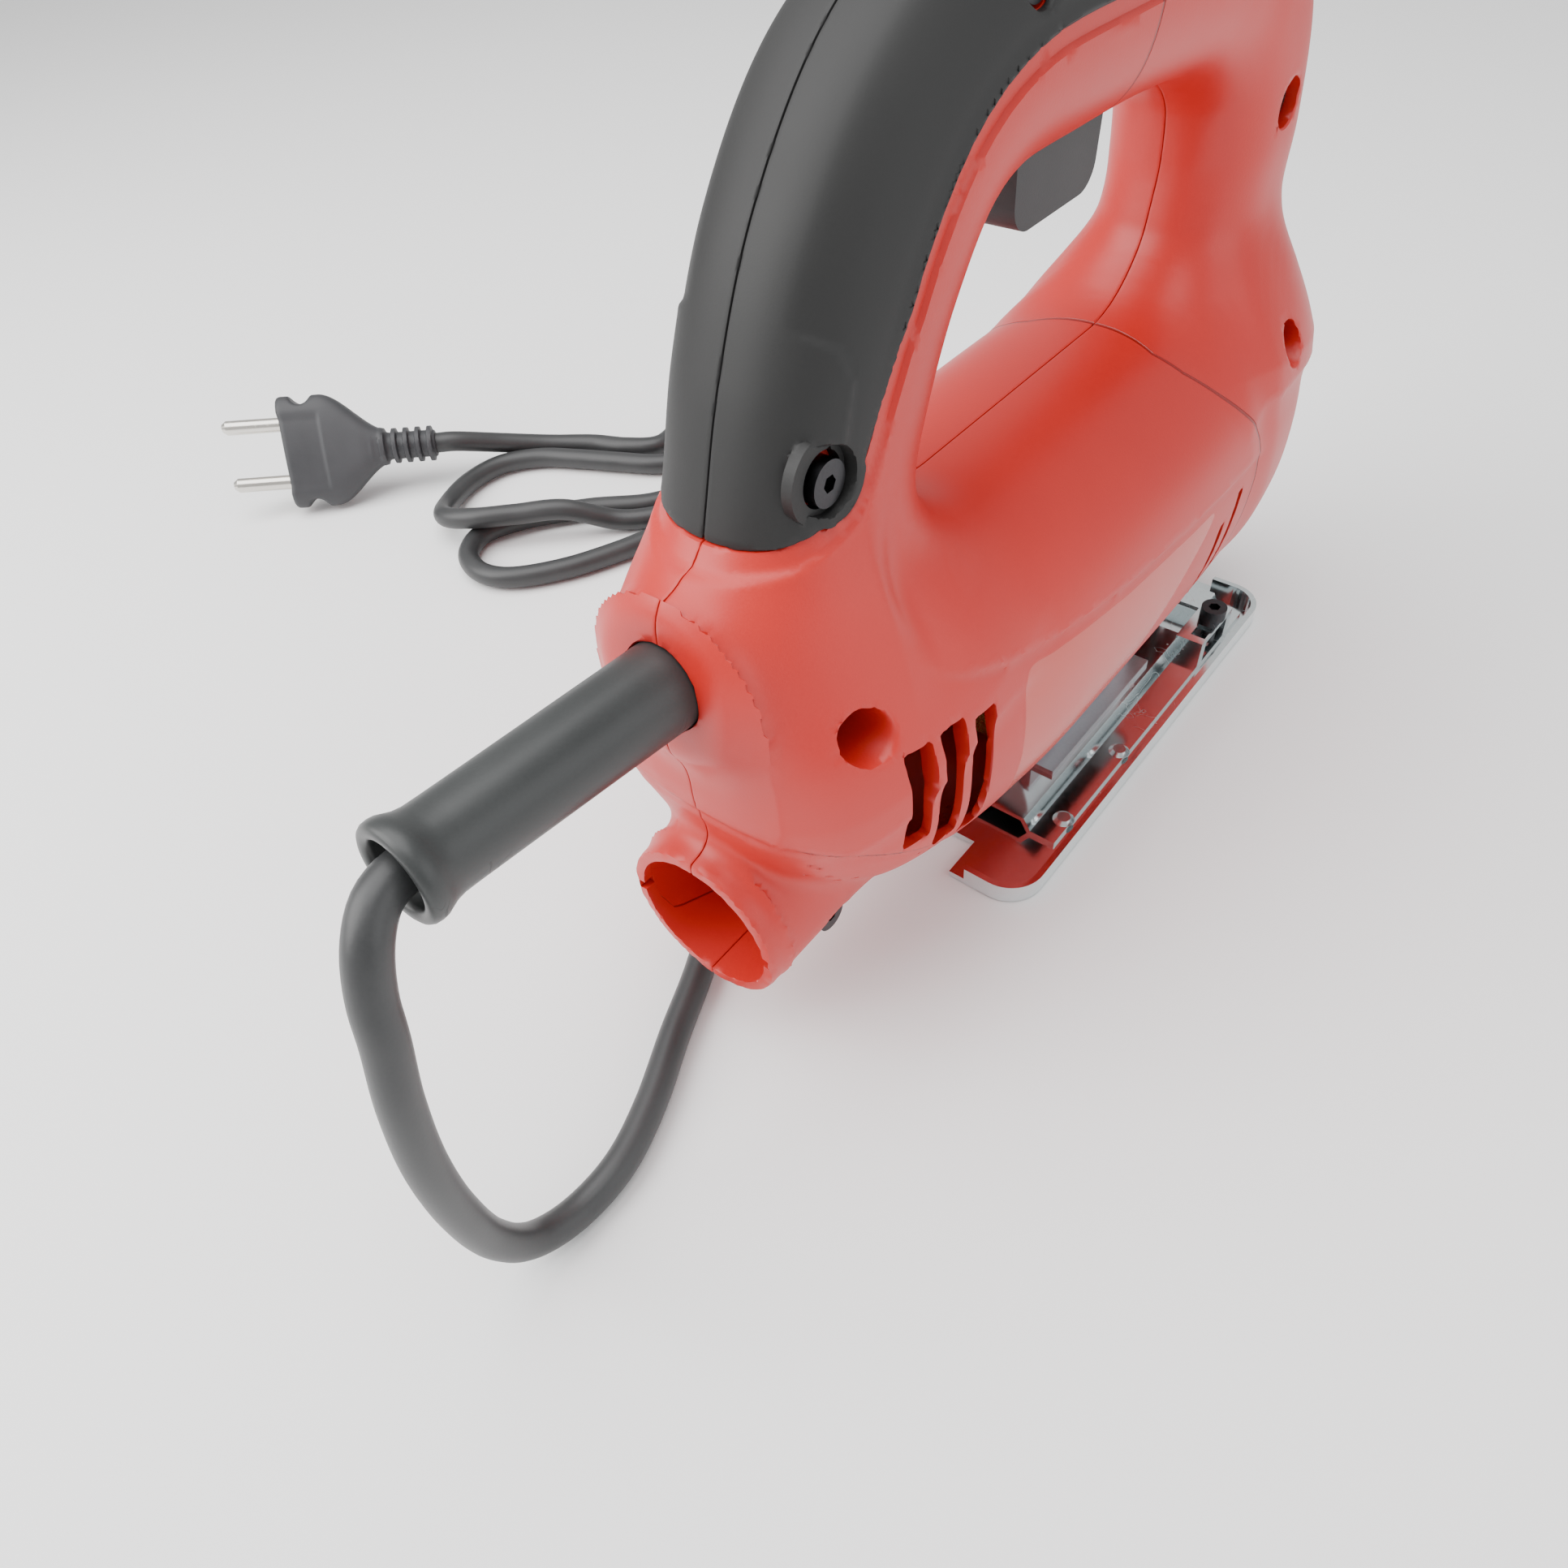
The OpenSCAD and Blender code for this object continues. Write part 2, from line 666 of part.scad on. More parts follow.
module cooling_fan() {
    blades = 11;
    color([0.2, 0.2, 0.21]) translate([0, 0, motor_z]) difference() {
        union() {
            along_x(fan_x, 1.5, fan_r);
            along_x(fan_x, 9, 7);
            for (i = [0:blades - 1]) rotate([i * 360 / blades, 0, 0]) translate([0, 0, 13])
                rotate([20, 0, 0]) block([fan_x + 1, fan_x + 9], [-0.8, 0.8], [-5, fan_r - 13.8]);
        }
        along_x(fan_x - 1, 12, shaft_r);
    }
}

module bearing(x, l, bore, r) {
    color([0.72, 0.73, 0.75]) translate([0, 0, motor_z]) difference() {
        along_x(x, l, r);
        along_x(x - 1, l + 2, bore + run_gap);
        for (side = [x - 1, x + l - 0.6]) difference() {
            along_x(side, 1.6, (r + bore) / 2 + 1.4);
            along_x(side - 1, 4, (r + bore) / 2 - 1.4);
        }
    }
}

module front_bearing() {
    bearing(web_x, front_bearing_t, shaft_r, front_bearing_r);
}

module rear_bearing() {
    bearing(rear_bearing_x, rear_bearing_t, rear_shaft_r, rear_bearing_r);
}

module brush_holders() {
    color([0.80, 0.65, 0.32]) translate([0, 0, motor_z]) for (side = [-1, 1])
        scale([1, side, 1]) difference() {
            block([brush_x - 1.2, brush_x + brush_w + 1.2], [13, 27],
                [-brush_w / 2 - 1.2, brush_w / 2 + 1.2]);
            block([brush_x, brush_x + brush_w], [12, 25.5], [-brush_w / 2, brush_w / 2]);
        }
}

module carbon_brushes() {
    color([0.15, 0.15, 0.16]) translate([0, 0, motor_z]) for (side = [-1, 1])
        scale([1, side, 1]) block([brush_x, brush_x + brush_w],
            [commutator_r + gap, 24], [-brush_w / 2, brush_w / 2]);
}

// ---------------------------------------------------------------- crank drive

module drive_gear() {
    color([0.55, 0.56, 0.58]) translate([0, 0, gear_z]) difference() {
        union() {
            translate([gear_x, 0, 0]) rotate([0, 90, 0]) rotate([0, 0, 180 / gear_teeth])
                linear_extrude(gear_t) polygon(polar(gear_outline(
                    gear_teeth, gear_root, gear_tip, 0.86)));
            along_x(gear_x + gear_t, 1.5, crank_r + crank_pin_r + 1);
            translate([0, crank_r, 0])
                along_x(gear_x + gear_t, yoke_x - gap - gear_x - gear_t, crank_pin_r);
        }
        along_x(gear_x - 1, 20, axle_r + run_gap);
    }
}

module gear_axle() {
    color([0.75, 0.76, 0.78]) translate([0, 0, gear_z])
        along_x(web_x, gear_x + gear_t + 2.5 - web_x, axle_r);
}

module plunger() {
    yoke_h = crank_pin_r + 5;
    yoke_w = crank_r + crank_pin_r + 3;
    color([0.78, 0.79, 0.81]) {
        translate([blade_x, 0, clamp_z]) cylinder(h = bush_top_z + 14 - clamp_z, r = rod_r, $fn = fine);
        difference() {
            block([yoke_x, yoke_x + 4], [-yoke_w, yoke_w], [gear_z - yoke_h, gear_z + yoke_h]);
            block([yoke_x - 1, yoke_x + 2.5], [-yoke_w + 2, yoke_w - 2],
                [gear_z - crank_pin_r - 0.1, gear_z + crank_pin_r + 0.1]);
        }
    }
}

module plunger_bushes() {
    color([0.78, 0.60, 0.30])
        for (b = [[bush_low_z, bush_low_t], [bush_top_z, bush_top_t]])
            translate([blade_x, 0, b[0]]) difference() {
                cylinder(h = b[1], r = bush_r, $fn = fine);
                translate([0, 0, -1]) cylinder(h = b[1] + 2, r = rod_r + run_gap, $fn = fine);
            }
}

module blade_clamp() {
    color([0.35, 0.36, 0.38]) difference() {
        translate([blade_x, 0, clamp_z - clamp_h + 6]) cylinder(h = clamp_h, r = clamp_r, $fn = fine);
        translate([blade_x, 0, clamp_z]) cylinder(h = 20, r = rod_r, $fn = fine);
        block([blade_x - clamp_r - 1, blade_x + 4], [-0.8, 0.8], [0, clamp_z - 2]);
        for (side = [-1, 1]) translate([blade_x, 0, clamp_z - 5])
            along_y(side > 0 ? 0.8 : -20.8, 20, clamp_screw_r);
    }
}

module clamp_screws() {
    color([0.2, 0.2, 0.21]) for (side = [-1, 1])
        translate([blade_x, 0, clamp_z - 5]) scale([1, side, 1]) difference() {
            along_y(0.8, clamp_r + 1, clamp_screw_r);
            translate([0, clamp_r + 0.4, 0]) rotate([-90, 0, 0])
                cylinder(h = 3, r = 1.2, $fn = 6);
        }
}

// ---------------------------------------------------------------- blade guide and guard

module roller_bracket() {
    color([0.62, 0.63, 0.65]) difference() {
        union() {
            block([web_x + web_t, roller_x - 2], [-5, 5], [tilt_z, tilt_z + 5]);
            for (side = [-1, 1]) block([roller_x - 9, roller_x + 3],
                side > 0 ? [2.4, 4.4] : [-4.4, -2.4], [roller_z - 3, tilt_z + 2]);
        }
        translate([roller_x, 0, roller_z]) along_y(-10, 20, 1.5);
        block([roller_x - 7, roller_x + 4], [-2.4, 2.4], [0, roller_z + roller_r + 1]);
    }
}

module guide_roller() {
    color([0.55, 0.56, 0.58]) translate([roller_x, 0, roller_z]) rotate([90, 0, 0])
        rotate_extrude($fn = fine) difference() {
            translate([1.5 + run_gap, -2]) square([roller_r - 1.5 - run_gap, 4]);
            translate([roller_r + 0.6, 0]) circle(1.2, $fn = 32);
        }
}

module roller_pin() {
    color([0.78, 0.79, 0.81]) translate([roller_x, 0, roller_z]) along_y(-4.4, 8.8, 1.5);
}

module blade_guard() {
    color([0.75, 0.76, 0.78]) {
        for (side = [-1, 1]) translate([guard_x, side * guard_r, 20])
            cylinder(h = 36, r = 1.5, $fn = fine);
        translate([guard_x, 0, 20]) rotate([0, 90, 0]) rotate([0, 0, -90])
            rotate_extrude(angle = 180, $fn = fine)
            translate([guard_r, 0]) circle(1.5, $fn = 24);
    }
}

// ---------------------------------------------------------------- controls

module trigger() {
    color([0.12, 0.12, 0.13]) hull() {
        for (x = [trigger_x + 5, trigger_x + trigger_l - 6])
            translate([x, 0, bar_low - trigger_drop + 5])
                along_y(-trigger_w / 2, trigger_w, 5);
        block([trigger_x, trigger_x + trigger_l], [-trigger_w / 2, trigger_w / 2],
            [bar_low + 3, bar_low + 5]);
    }
}

module switch_body() {
    color([0.10, 0.10, 0.11]) {
        block([trigger_x - 6, trigger_x + trigger_l + 4], [-12, 12], [bar_low + 12, bar_low + 28]);
        block([trigger_x - 4, trigger_x + 4], [-6, 6], [bar_low + 28, bar_low + 31]);
    }
}

module lock_button() {
    color([0.12, 0.12, 0.13]) translate([lock_x, 0, bar_z - 3]) {
        along_y(13, grip_b + 3 - 13, lock_r);
    }
}

module speed_dial() {
    knurls = 18;
    color([0.12, 0.12, 0.13]) translate([dial_x, 0, dial_z]) difference() {
        union() {
            along_y(-dial_w / 2, dial_w, dial_r);
            along_y(-5, 10, 2);
        }
        for (i = [0:knurls - 1]) rotate([0, i * 360 / knurls, 0])
            translate([dial_r + 0.5, 0, 0]) along_y(-dial_w, dial_w * 2, 1.1);
    }
}

module cable_clamp() {
    color([0.12, 0.12, 0.13]) difference() {
        block([rear_x + 24, rear_x + 31], [-11, 11], [collar_z + 1, collar_z + 7]);
        translate([0, 0, lead_z]) along_x(rear_x + 20, 15, lead_r);
        for (y = [-8, 8]) translate([rear_x + 27.5, y, 0]) cylinder(h = 200, r = 1.5, $fn = fine);
    }
}

module cable_clamp_screws() {
    color([0.6, 0.6, 0.62]) for (y = [-8, 8]) translate([rear_x + 27.5, y, collar_z - 10]) {
        cylinder(h = 17, r = 1.5, $fn = fine);
        translate([0, 0, 17]) cylinder(h = 2, r = 2.6, $fn = fine);
    }
}

// Cord inside the shell, and two leads up through the handle to the switch
module switch_leads() {
    color([0.25, 0.25, 0.26]) {
        translate([0, 0, lead_z]) along_x(rear_x + 9.8, 28, lead_r);
        for (side = [-1, 1]) tube([
            [rear_x + 37.8, side * 1.8, lead_z], [rear_x + 42, side * 2.5, lead_z + 3],
            [rear_x + 40, side * 5, 110], [rear_x + 38, side * 6, 122],
            [rear_x + 48, side * 6, 142], [rear_x + 60, side * 6, bar_low + 12],
            [rear_x + 72, side * 6, bar_low + 20], [trigger_x - 6, side * 6, bar_low + 20]
        ], 1.4, 8, [0, 1, 0]);
    }
}

// ---------------------------------------------------------------- cord and plug

module cord_sleeve() {
    color([0.13, 0.13, 0.14]) translate([collar_x, 0, collar_z]) rotate([0, sleeve_tilt, 0])
        difference() {
            union() {
                rotate([0, -90, 0]) cylinder(h = sleeve_out - 2, r1 = sleeve_r,
                    r2 = sleeve_r - 0.6, $fn = fine);
                translate([-sleeve_out, 0, 0]) rotate([0, 90, 0]) {
                    cylinder(h = 3, r = 8.2, $fn = fine);
                    translate([0, 0, 3]) cylinder(h = 3, r1 = 8.2, r2 = sleeve_r - 0.6, $fn = fine);
                }
                along_x(-1, 12, sleeve_r);
            }
            along_x(-sleeve_out - 1, mouth_deep + 1, mouth_r);
        }
}

module power_cord() {
    color([0.16, 0.16, 0.17]) tube(ROUTE, cord_d / 2, 8, [0, 1, 0]);
}

module at_plug() {
    translate(relief_end) rotate([0, -plug_rise, plug_turn]) rotate([plug_roll, 0, 0]) children();
}

module plug_body() {
    color([0.14, 0.14, 0.15]) at_plug() difference() {
        union() {
            along_x(0, relief_l + 2, 4.6);
            for (i = [0:4]) along_x(1 + i * 4, 2, 6);
            hull() {
                translate([relief_l, 0, 0]) rotate([0, 90, 0]) cylinder(h = 2, r = 6, $fn = mesh_fn);
                for (side = [-1, 1]) translate([relief_l + 16, side * (plug_w / 2 - plug_t / 2), 0])
                    rotate([0, 90, 0]) cylinder(h = plug_l - 16, r = plug_t / 2, $fn = mesh_fn);
            }
        }
        for (side = [-1, 1]) translate([relief_l + plug_l - 8, side * (plug_w / 2 + 0.6), -20])
            cylinder(h = 40, r = 3.4, $fn = fine);
    }
}

module plug_pins() {
    color([0.80, 0.80, 0.80]) at_plug() for (side = [-1, 1])
        translate([0, side * pin_gap / 2, 0]) {
            along_x(relief_l + plug_l, pin_l - 1.4, pin_r);
            translate([relief_l + plug_l + pin_l - 1.4, 0, 0]) rotate([0, 90, 0])
                cylinder(h = 1.4, r1 = pin_r, r2 = pin_r - 1, $fn = fine);
        }
}

// ---------------------------------------------------------------- sole

// Outline of the sole drawn in by d, with the rear notch and the blade slot
module sole_outline(d) {
    difference() {
        hull() for (x = [-1, 1], y = [-1, 1])
            translate([x * (sole_l / 2 - corner_r), y * (sole_w / 2 - corner_r)])
                circle(corner_r - d, $fn = 48);
        translate([-sole_l / 2 - 5, -notch_w / 2 - d]) square([notch_l + 5 + d, notch_w + 2 * d]);
        translate([blade_x - 22, -blade_slot_w / 2 - d]) square([100, blade_slot_w + 2 * d]);
    }
}

module sole_plate() {
    color([0.78, 0.80, 0.82]) difference() {
        linear_extrude(rim_h) sole_outline(0);
        translate([0, 0, sheet_t]) linear_extrude(rim_h) difference() {
            sole_outline(sheet_t);
            translate([-sole_l / 2, -sole_w]) square([0.1, 2 * sole_w]);
        }
        block([-sole_l / 2 - 1, sole_l / 2 + 1], [-notch_w / 2 - 4, notch_w / 2 + 4],
            [sheet_t, rim_h + 1]);
        block([cradle_x - 2, blade_x - 21], [-22, 22], [-1, sheet_t + 1]);
    }
}

// Cross-section of the upper sheet: flanges on the sole and a raised crown
module channel_section() {
    t = 1.2;
    side = crown_w / 2;
    half = [[0, channel_top], [side, channel_top], [side + 2, sheet_t + t],
        [channel_w / 2 + 3, sheet_t + t], [channel_w / 2 + 3, sheet_t],
        [side + 1.2, sheet_t], [side - 0.8, channel_top - t], [0, channel_top - t]];
    for (m = [0, 1]) mirror([m, 0]) polygon(half);
}

module channel_plate() {
    color([0.74, 0.76, 0.79]) difference() {
        union() {
            translate([channel_x, 0, 0]) rotate([90, 0, 90])
                linear_extrude(channel_l) channel_section();
            for (side = [-1, 1]) scale([1, side, 1])
                block([fence_x - 5, fence_x + 14], [crown_w / 2, channel_w / 2 + 2], [2, fence_top]);
        }
        block([fence_x - 2, fence_x + 11], [-40, 40], [sheet_t + 1.2, fence_top - 1.4]);
        for (side = [-1, 1]) {
            block([fence_x - 2.5, fence_x + 2.5],
                side > 0 ? [fence_y - 2.5, fence_y + 1.5] : [-fence_y - 1.5, 2.5 - fence_y], [2, 20]);
            translate([fence_x + 7.5, side * (fence_y - 1), sheet_t])
                cylinder(h = 20, r = fence_screw_r, $fn = fine);
            for (x = rivet_xs) translate([x, side * rivet_y, 0])
                cylinder(h = 10, r = 1.5, $fn = fine);
        }
        block([blade_x - 22, 100], [-blade_slot_w / 2, blade_slot_w / 2], [0, 20]);
        block([cradle_x - 1, cradle_x + cradle_l + 1], [-8.2, 8.2], [0, 20]);
        translate([0, 0, tilt_z]) along_x(shoe_x - 1.5, shoe_l + 3, shoe_r + 0.7);
    }
}

module sole_rivets() {
    color([0.70, 0.71, 0.73]) for (x = rivet_xs, side = [-1, 1])
        translate([x, side * rivet_y, 0]) {
            translate([0, 0, sheet_t]) cylinder(h = 1.2, r = 1.5, $fn = fine);
            translate([0, 0, sheet_t + 1.2]) cylinder(h = 0.8, r1 = 2.6, r2 = 1.6, $fn = fine);
        }
}

module fence_screw() {
    color([0.35, 0.36, 0.38]) translate([fence_x + 7.5, 1 - fence_y, 0]) difference() {
        union() {
            translate([0, 0, sheet_t + 1.2]) cylinder(h = fence_top - 1.2, r = fence_screw_r, $fn = fine);
            translate([0, 0, fence_top]) cylinder(h = 3.4, r = 3.4, $fn = fine);
        }
        translate([0, 0, fence_top + 1.4]) cylinder(h = 4, r = 1.6, $fn = 6);
    }
}

// Trough that the foot rocks in, with arc slots for the tilt screws
module tilt_cradle() {
    inner = foot_r + cradle_gap;
    color([0.70, 0.72, 0.75]) difference() {
        union() {
            intersection() {
                translate([0, 0, tilt_z]) along_x(cradle_x, cradle_l, inner + 1.5);
                block([cradle_x, cradle_x + cradle_l], [-17.2, 17.2], [0, 15.4]);
            }
            for (side = [-1, 1]) scale([1, side, 1]) difference() {
                union() {
                    block([cradle_x, cradle_x + cradle_l], [10, 17.2], [channel_top, 14]);
                    block([cradle_x, cradle_x + cradle_l], [16, 23], [channel_top, channel_top + 1.5]);
                }
                translate([0, 0, tilt_z]) along_x(shoe_x - 1.5, shoe_l + 3, shoe_r + 0.7);
            }
        }
        translate([0, 0, tilt_z]) along_x(cradle_x - 1, cradle_l + 2, inner);
        for (x = tilt_screw_xs) translate([x, 0, tilt_z]) rotate([0, 90, 0])
            rotate([0, 0, -slot_angle]) rotate_extrude(angle = 2 * slot_angle, $fn = fine)
            translate([inner - 1, -tilt_screw_r - 0.4]) square([4, 2 * tilt_screw_r + 0.8]);
    }
}

module tilt_shoe() {
    color([0.45, 0.46, 0.48]) difference() {
        intersection() {
            translate([0, 0, tilt_z]) along_x(shoe_x, shoe_l, shoe_r);
            block([shoe_x, shoe_x + shoe_l], [-5.4, 5.4], [0, 10]);
        }
        translate([0, 0, tilt_z]) along_x(shoe_x - 1, shoe_l + 2, foot_r + cradle_gap + 1.8);
        for (x = tilt_screw_xs) translate([x, 0, -1]) {
            cylinder(h = 20, r = tilt_screw_r, $fn = fine);
            cylinder(h = 3.6, r = tilt_head_r, $fn = fine);
        }
    }
}

module tilt_screws() {
    color([0.20, 0.20, 0.21]) for (x = tilt_screw_xs) translate([x, 0, 0]) difference() {
        union() {
            translate([0, 0, 2.6]) cylinder(h = 25, r = tilt_screw_r, $fn = fine);
            translate([0, 0, 0.9]) cylinder(h = 1.7, r = tilt_head_r, $fn = fine);
        }
        cylinder(h = 2.2, r = 1.7, $fn = 6);
    }
}

housing_right();
housing_left();
grip_pad_right();
grip_pad_left();
housing_screws();
gear_case();
field_stack();
field_windings();
armature_core();
armature_windings();
motor_shaft();
commutator();
cooling_fan();
front_bearing();
rear_bearing();
brush_holders();
carbon_brushes();
drive_gear();
gear_axle();
plunger();
plunger_bushes();
blade_clamp();
clamp_screws();
roller_bracket();
guide_roller();
roller_pin();
blade_guard();
trigger();
switch_body();
lock_button();
speed_dial();
cable_clamp();
cable_clamp_screws();
switch_leads();
cord_sleeve();
power_cord();
plug_body();
plug_pins();
sole_plate();
channel_plate();
sole_rivets();
fence_screw();
tilt_cradle();
tilt_shoe();
tilt_screws();
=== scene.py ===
import math
import bpy
import numpy as np
from mathutils import Matrix


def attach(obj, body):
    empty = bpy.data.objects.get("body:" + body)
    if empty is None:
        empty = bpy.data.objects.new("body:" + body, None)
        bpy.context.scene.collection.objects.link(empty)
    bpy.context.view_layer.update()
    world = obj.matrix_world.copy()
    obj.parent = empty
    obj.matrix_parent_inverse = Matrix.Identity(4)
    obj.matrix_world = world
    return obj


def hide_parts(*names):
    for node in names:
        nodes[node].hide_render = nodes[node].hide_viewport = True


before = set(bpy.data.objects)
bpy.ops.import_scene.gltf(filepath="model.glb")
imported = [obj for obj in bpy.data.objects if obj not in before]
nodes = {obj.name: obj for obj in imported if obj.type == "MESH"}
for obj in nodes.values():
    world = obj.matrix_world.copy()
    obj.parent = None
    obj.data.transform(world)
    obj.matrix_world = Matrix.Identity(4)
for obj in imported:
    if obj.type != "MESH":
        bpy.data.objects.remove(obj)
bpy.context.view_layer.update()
mm = 0.001


# Camera.
camera = {
    "place": (-207.85, -101.84, 211.04),    # mm
    "right": (0.62820, -0.77435, -0.07580),
    "down": (-0.60316, -0.42313, -0.67614),
    "view": (0.49150, 0.47046, -0.73287),
    "lens": 25.56,
}


# Camera at a place in mm, its own axes given in the model's frame.
def placeCamera(c):
    lens = bpy.data.cameras.new("studioCamera")
    lens.lens, lens.sensor_width, lens.clip_start = c["lens"], 36, 0.01
    body = bpy.data.objects.new("studioCamera", lens)
    bpy.context.scene.collection.objects.link(body)
    right, down, view, at = (np.array(c[k], float) for k in ("right", "down", "view", "place"))
    grid = np.eye(4)
    grid[:3, 0], grid[:3, 1], grid[:3, 2], grid[:3, 3] = right, -down, -view, at * mm
    body.matrix_world = Matrix(grid.tolist())
    bpy.context.scene.camera = body


placeCamera(camera)
print("camera placed")


# Mesh helpers.

# Mesh from points in mm and faces, flat edges kept where they turn by more than smooth degrees.
def newPiece(name, points, faces, material, body, smooth=40):
    mesh = bpy.data.meshes.new(name)
    mesh.from_pydata(np.asarray(points) * mm, [], faces)
    mesh.validate()
    mesh.shade_smooth()
    if smooth:
        mesh.set_sharp_from_angle(angle=math.radians(smooth))
    mesh.materials.append(material)
    piece = bpy.data.objects.new(name, mesh)
    bpy.context.scene.collection.objects.link(piece)
    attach(piece, body)
    return piece


# Smooth curve through knots: cubic pieces whose slopes are
# weighted harmonic means of the chords beside them.
def monotone(knots, values, at):
    knots, values = np.asarray(knots, float), np.asarray(values, float)
    step = np.diff(knots)
    chord = np.diff(values) / step
    slope = np.zeros(len(knots))
    left, right = 2 * step[1:] + step[:-1], step[1:] + 2 * step[:-1]
    same = chord[:-1] * chord[1:] > 0
    slope[1:-1][same] = (left + right)[same] / (left[same] / chord[:-1][same]
                                                + right[same] / chord[1:][same])
    slope[0], slope[-1] = chord[0], chord[-1]
    i = np.clip(np.searchsorted(knots, at) - 1, 0, len(step) - 1)
    t = (at - knots[i]) / step[i]
    return (values[i] * (1 + 2 * t) * (1 - t) ** 2 + step[i] * slope[i] * t * (1 - t) ** 2
            + values[i + 1] * t * t * (3 - 2 * t) + step[i] * slope[i + 1] * t * t * (t - 1))


# Curve through points: Hermite pieces, slope = half the chord
# between a point's neighbours. Equal arc steps.
def throughPoints(points, count):
    p = np.asarray(points, float)
    slope = np.gradient(p, axis=0)
    t = np.linspace(0, len(p) - 1, 40 * len(p))
    i = np.minimum(t.astype(int), len(p) - 2)
    f = (t - i)[:, None]
    dense = (p[i] * (1 + 2 * f) * (1 - f) ** 2 + slope[i] * f * (1 - f) ** 2
             + p[i + 1] * f * f * (3 - 2 * f) + slope[i + 1] * f * f * (f - 1))
    arc = np.append(0, np.cumsum(np.linalg.norm(np.diff(dense, axis=0), axis=1)))
    at = np.linspace(0, arc[-1], count)
    return np.stack([np.interp(at, arc, dense[:, k]) for k in range(dense.shape[1])], 1), at


# Union with a fillet: the smaller value, less a parabola where the two are within k of each other.
def blendMin(a, b, k):
    h = np.clip(0.5 + 0.5 * (b - a) / k, 0, 1)
    return b + (a - b) * h - k * h * (1 - h)


# Intersection with a fillet: blendMin of the two values negated, negated again.
def blendMax(a, b, k):
    return -blendMin(-a, -b, k)


# 0 below low, 1 above high, and 3t^2 - 2t^3 between.
def ramp(x, low, high):
    t = np.clip((x - low) / (high - low), 0, 1)
    return t * t * (3 - 2 * t)


# Distance to a box with edges rounded by r: length of the outer offsets, less r.
def boxField(p, x, y, z, r=0.0):
    q = [np.abs(p[i] - (a + b) / 2) - (b - a) / 2 + r for i, (a, b) in enumerate((x, y, z))]
    outer = np.sqrt(sum(np.maximum(c, 0) ** 2 for c in q))
    return outer + np.minimum(np.maximum(np.maximum(q[0], q[1]), q[2]), 0) - r


# Slope of a field at points: what it gains from h behind to h ahead, along each axis.
def fieldSlope(field, points, h):
    return np.stack([field(tuple((points + h * e).T)) - field(tuple((points - h * e).T))
                     for e in np.eye(3)], 1)


# Closed surface where field is 0. Each grid cell that the surface crosses gets one point, the one nearest
# to all the tangent planes met on the cell's edges, so creases stay sharp. Each crossed edge makes one
# face.
def gridSurface(field, axes, refine=3):
    ax, ay, az = axes
    shape = (len(ax), len(ay), len(az))
    values = np.empty(shape, np.float32)
    for i in range(0, shape[0], 24):
        x, y, z = np.meshgrid(ax[i:i + 24], ay, az, indexing="ij")
        values[i:i + 24] = field((x.ravel(), y.ravel(), z.ravel())).reshape(x.shape)
    inside = values < 0
    crossings, normals, cells, quads = [], [], [], []
    cellShape = tuple(n - 1 for n in shape)
    for k in range(3):
        low = [slice(None)] * 3
        high = [slice(None)] * 3
        low[k], high[k] = slice(0, -1), slice(1, None)
        change = inside[tuple(low)] != inside[tuple(high)]
        for other in range(3):
            if other != k:
                trim = [slice(None)] * 3
                trim[other] = [0, -1]
                change[tuple(trim)] = False
        at = np.argwhere(change)
        to = at.copy()
        to[:, k] += 1
        ends = [np.stack([axes[c][i[:, c]] for c in range(3)], 1) for i in (at, to)]
        worth = [values[tuple(i.T)].astype(float) for i in (at, to)]
        a, b, fa, fb = ends[0], ends[1], worth[0], worth[1]
        for _ in range(refine):
            t = np.clip(fa / (fa - fb), 0.08, 0.92)[:, None]
            mid = a + (b - a) * t
            fm = field(tuple(mid.T))
            first = (fm < 0) == (fa < 0)
            a, fa = np.where(first[:, None], mid, a), np.where(first, fm, fa)
            b, fb = np.where(first[:, None], b, mid), np.where(first, fb, fm)
        t = (fa / np.where(fa == fb, 1, fa - fb))[:, None]
        hit = a + (b - a) * t
        slope = fieldSlope(field, hit, 0.05)
        slope /= np.maximum(np.linalg.norm(slope, axis=1, keepdims=True), 1e-9)
        u, v = (k + 1) % 3, (k + 2) % 3
        around = []
        for du, dv in ((-1, -1), (0, -1), (0, 0), (-1, 0)):
            cell = at.copy()
            cell[:, u] += du
            cell[:, v] += dv
            around.append(np.ravel_multi_index(cell.T, cellShape))
        around = np.stack(around, 1)
        leaves = inside[tuple(at.T)]
        quads.append(np.where(leaves[:, None], around, around[:, ::-1]))
        for c in range(4):
            crossings.append(hit)
            normals.append(slope)
            cells.append(around[:, c])
    hit, slope, cell = np.concatenate(crossings), np.concatenate(normals), np.concatenate(cells)
    used, row = np.unique(cell, return_inverse=True)
    count = np.bincount(row).astype(float)
    mean = np.stack([np.bincount(row, hit[:, c]) for c in range(3)], 1) / count[:, None]
    off = np.einsum("ij,ij->i", slope, hit - mean[row])
    ata = np.stack([np.bincount(row, slope[:, i] * slope[:, j]) for i in range(3) for j in range(3)],
                   1).reshape(-1, 3, 3)
    atb = np.stack([np.bincount(row, slope[:, i] * off) for i in range(3)], 1)
    size, turn = np.linalg.eigh(ata)
    keep = size > 0.08 * size[:, 2:]
    inverse = np.where(keep, 1 / np.where(keep, size, 1), 0)
    point = mean + np.einsum("nij,nj,nkj,nk->ni", turn, inverse, turn, atb)
    place = np.stack(np.unravel_index(used, cellShape), 1)
    lowSide = np.stack([axes[c][place[:, c]] for c in range(3)], 1)
    highSide = np.stack([axes[c][place[:, c] + 1] for c in range(3)], 1)
    point = np.clip(point, lowSide, highSide)
    return point, np.searchsorted(used, np.concatenate(quads))


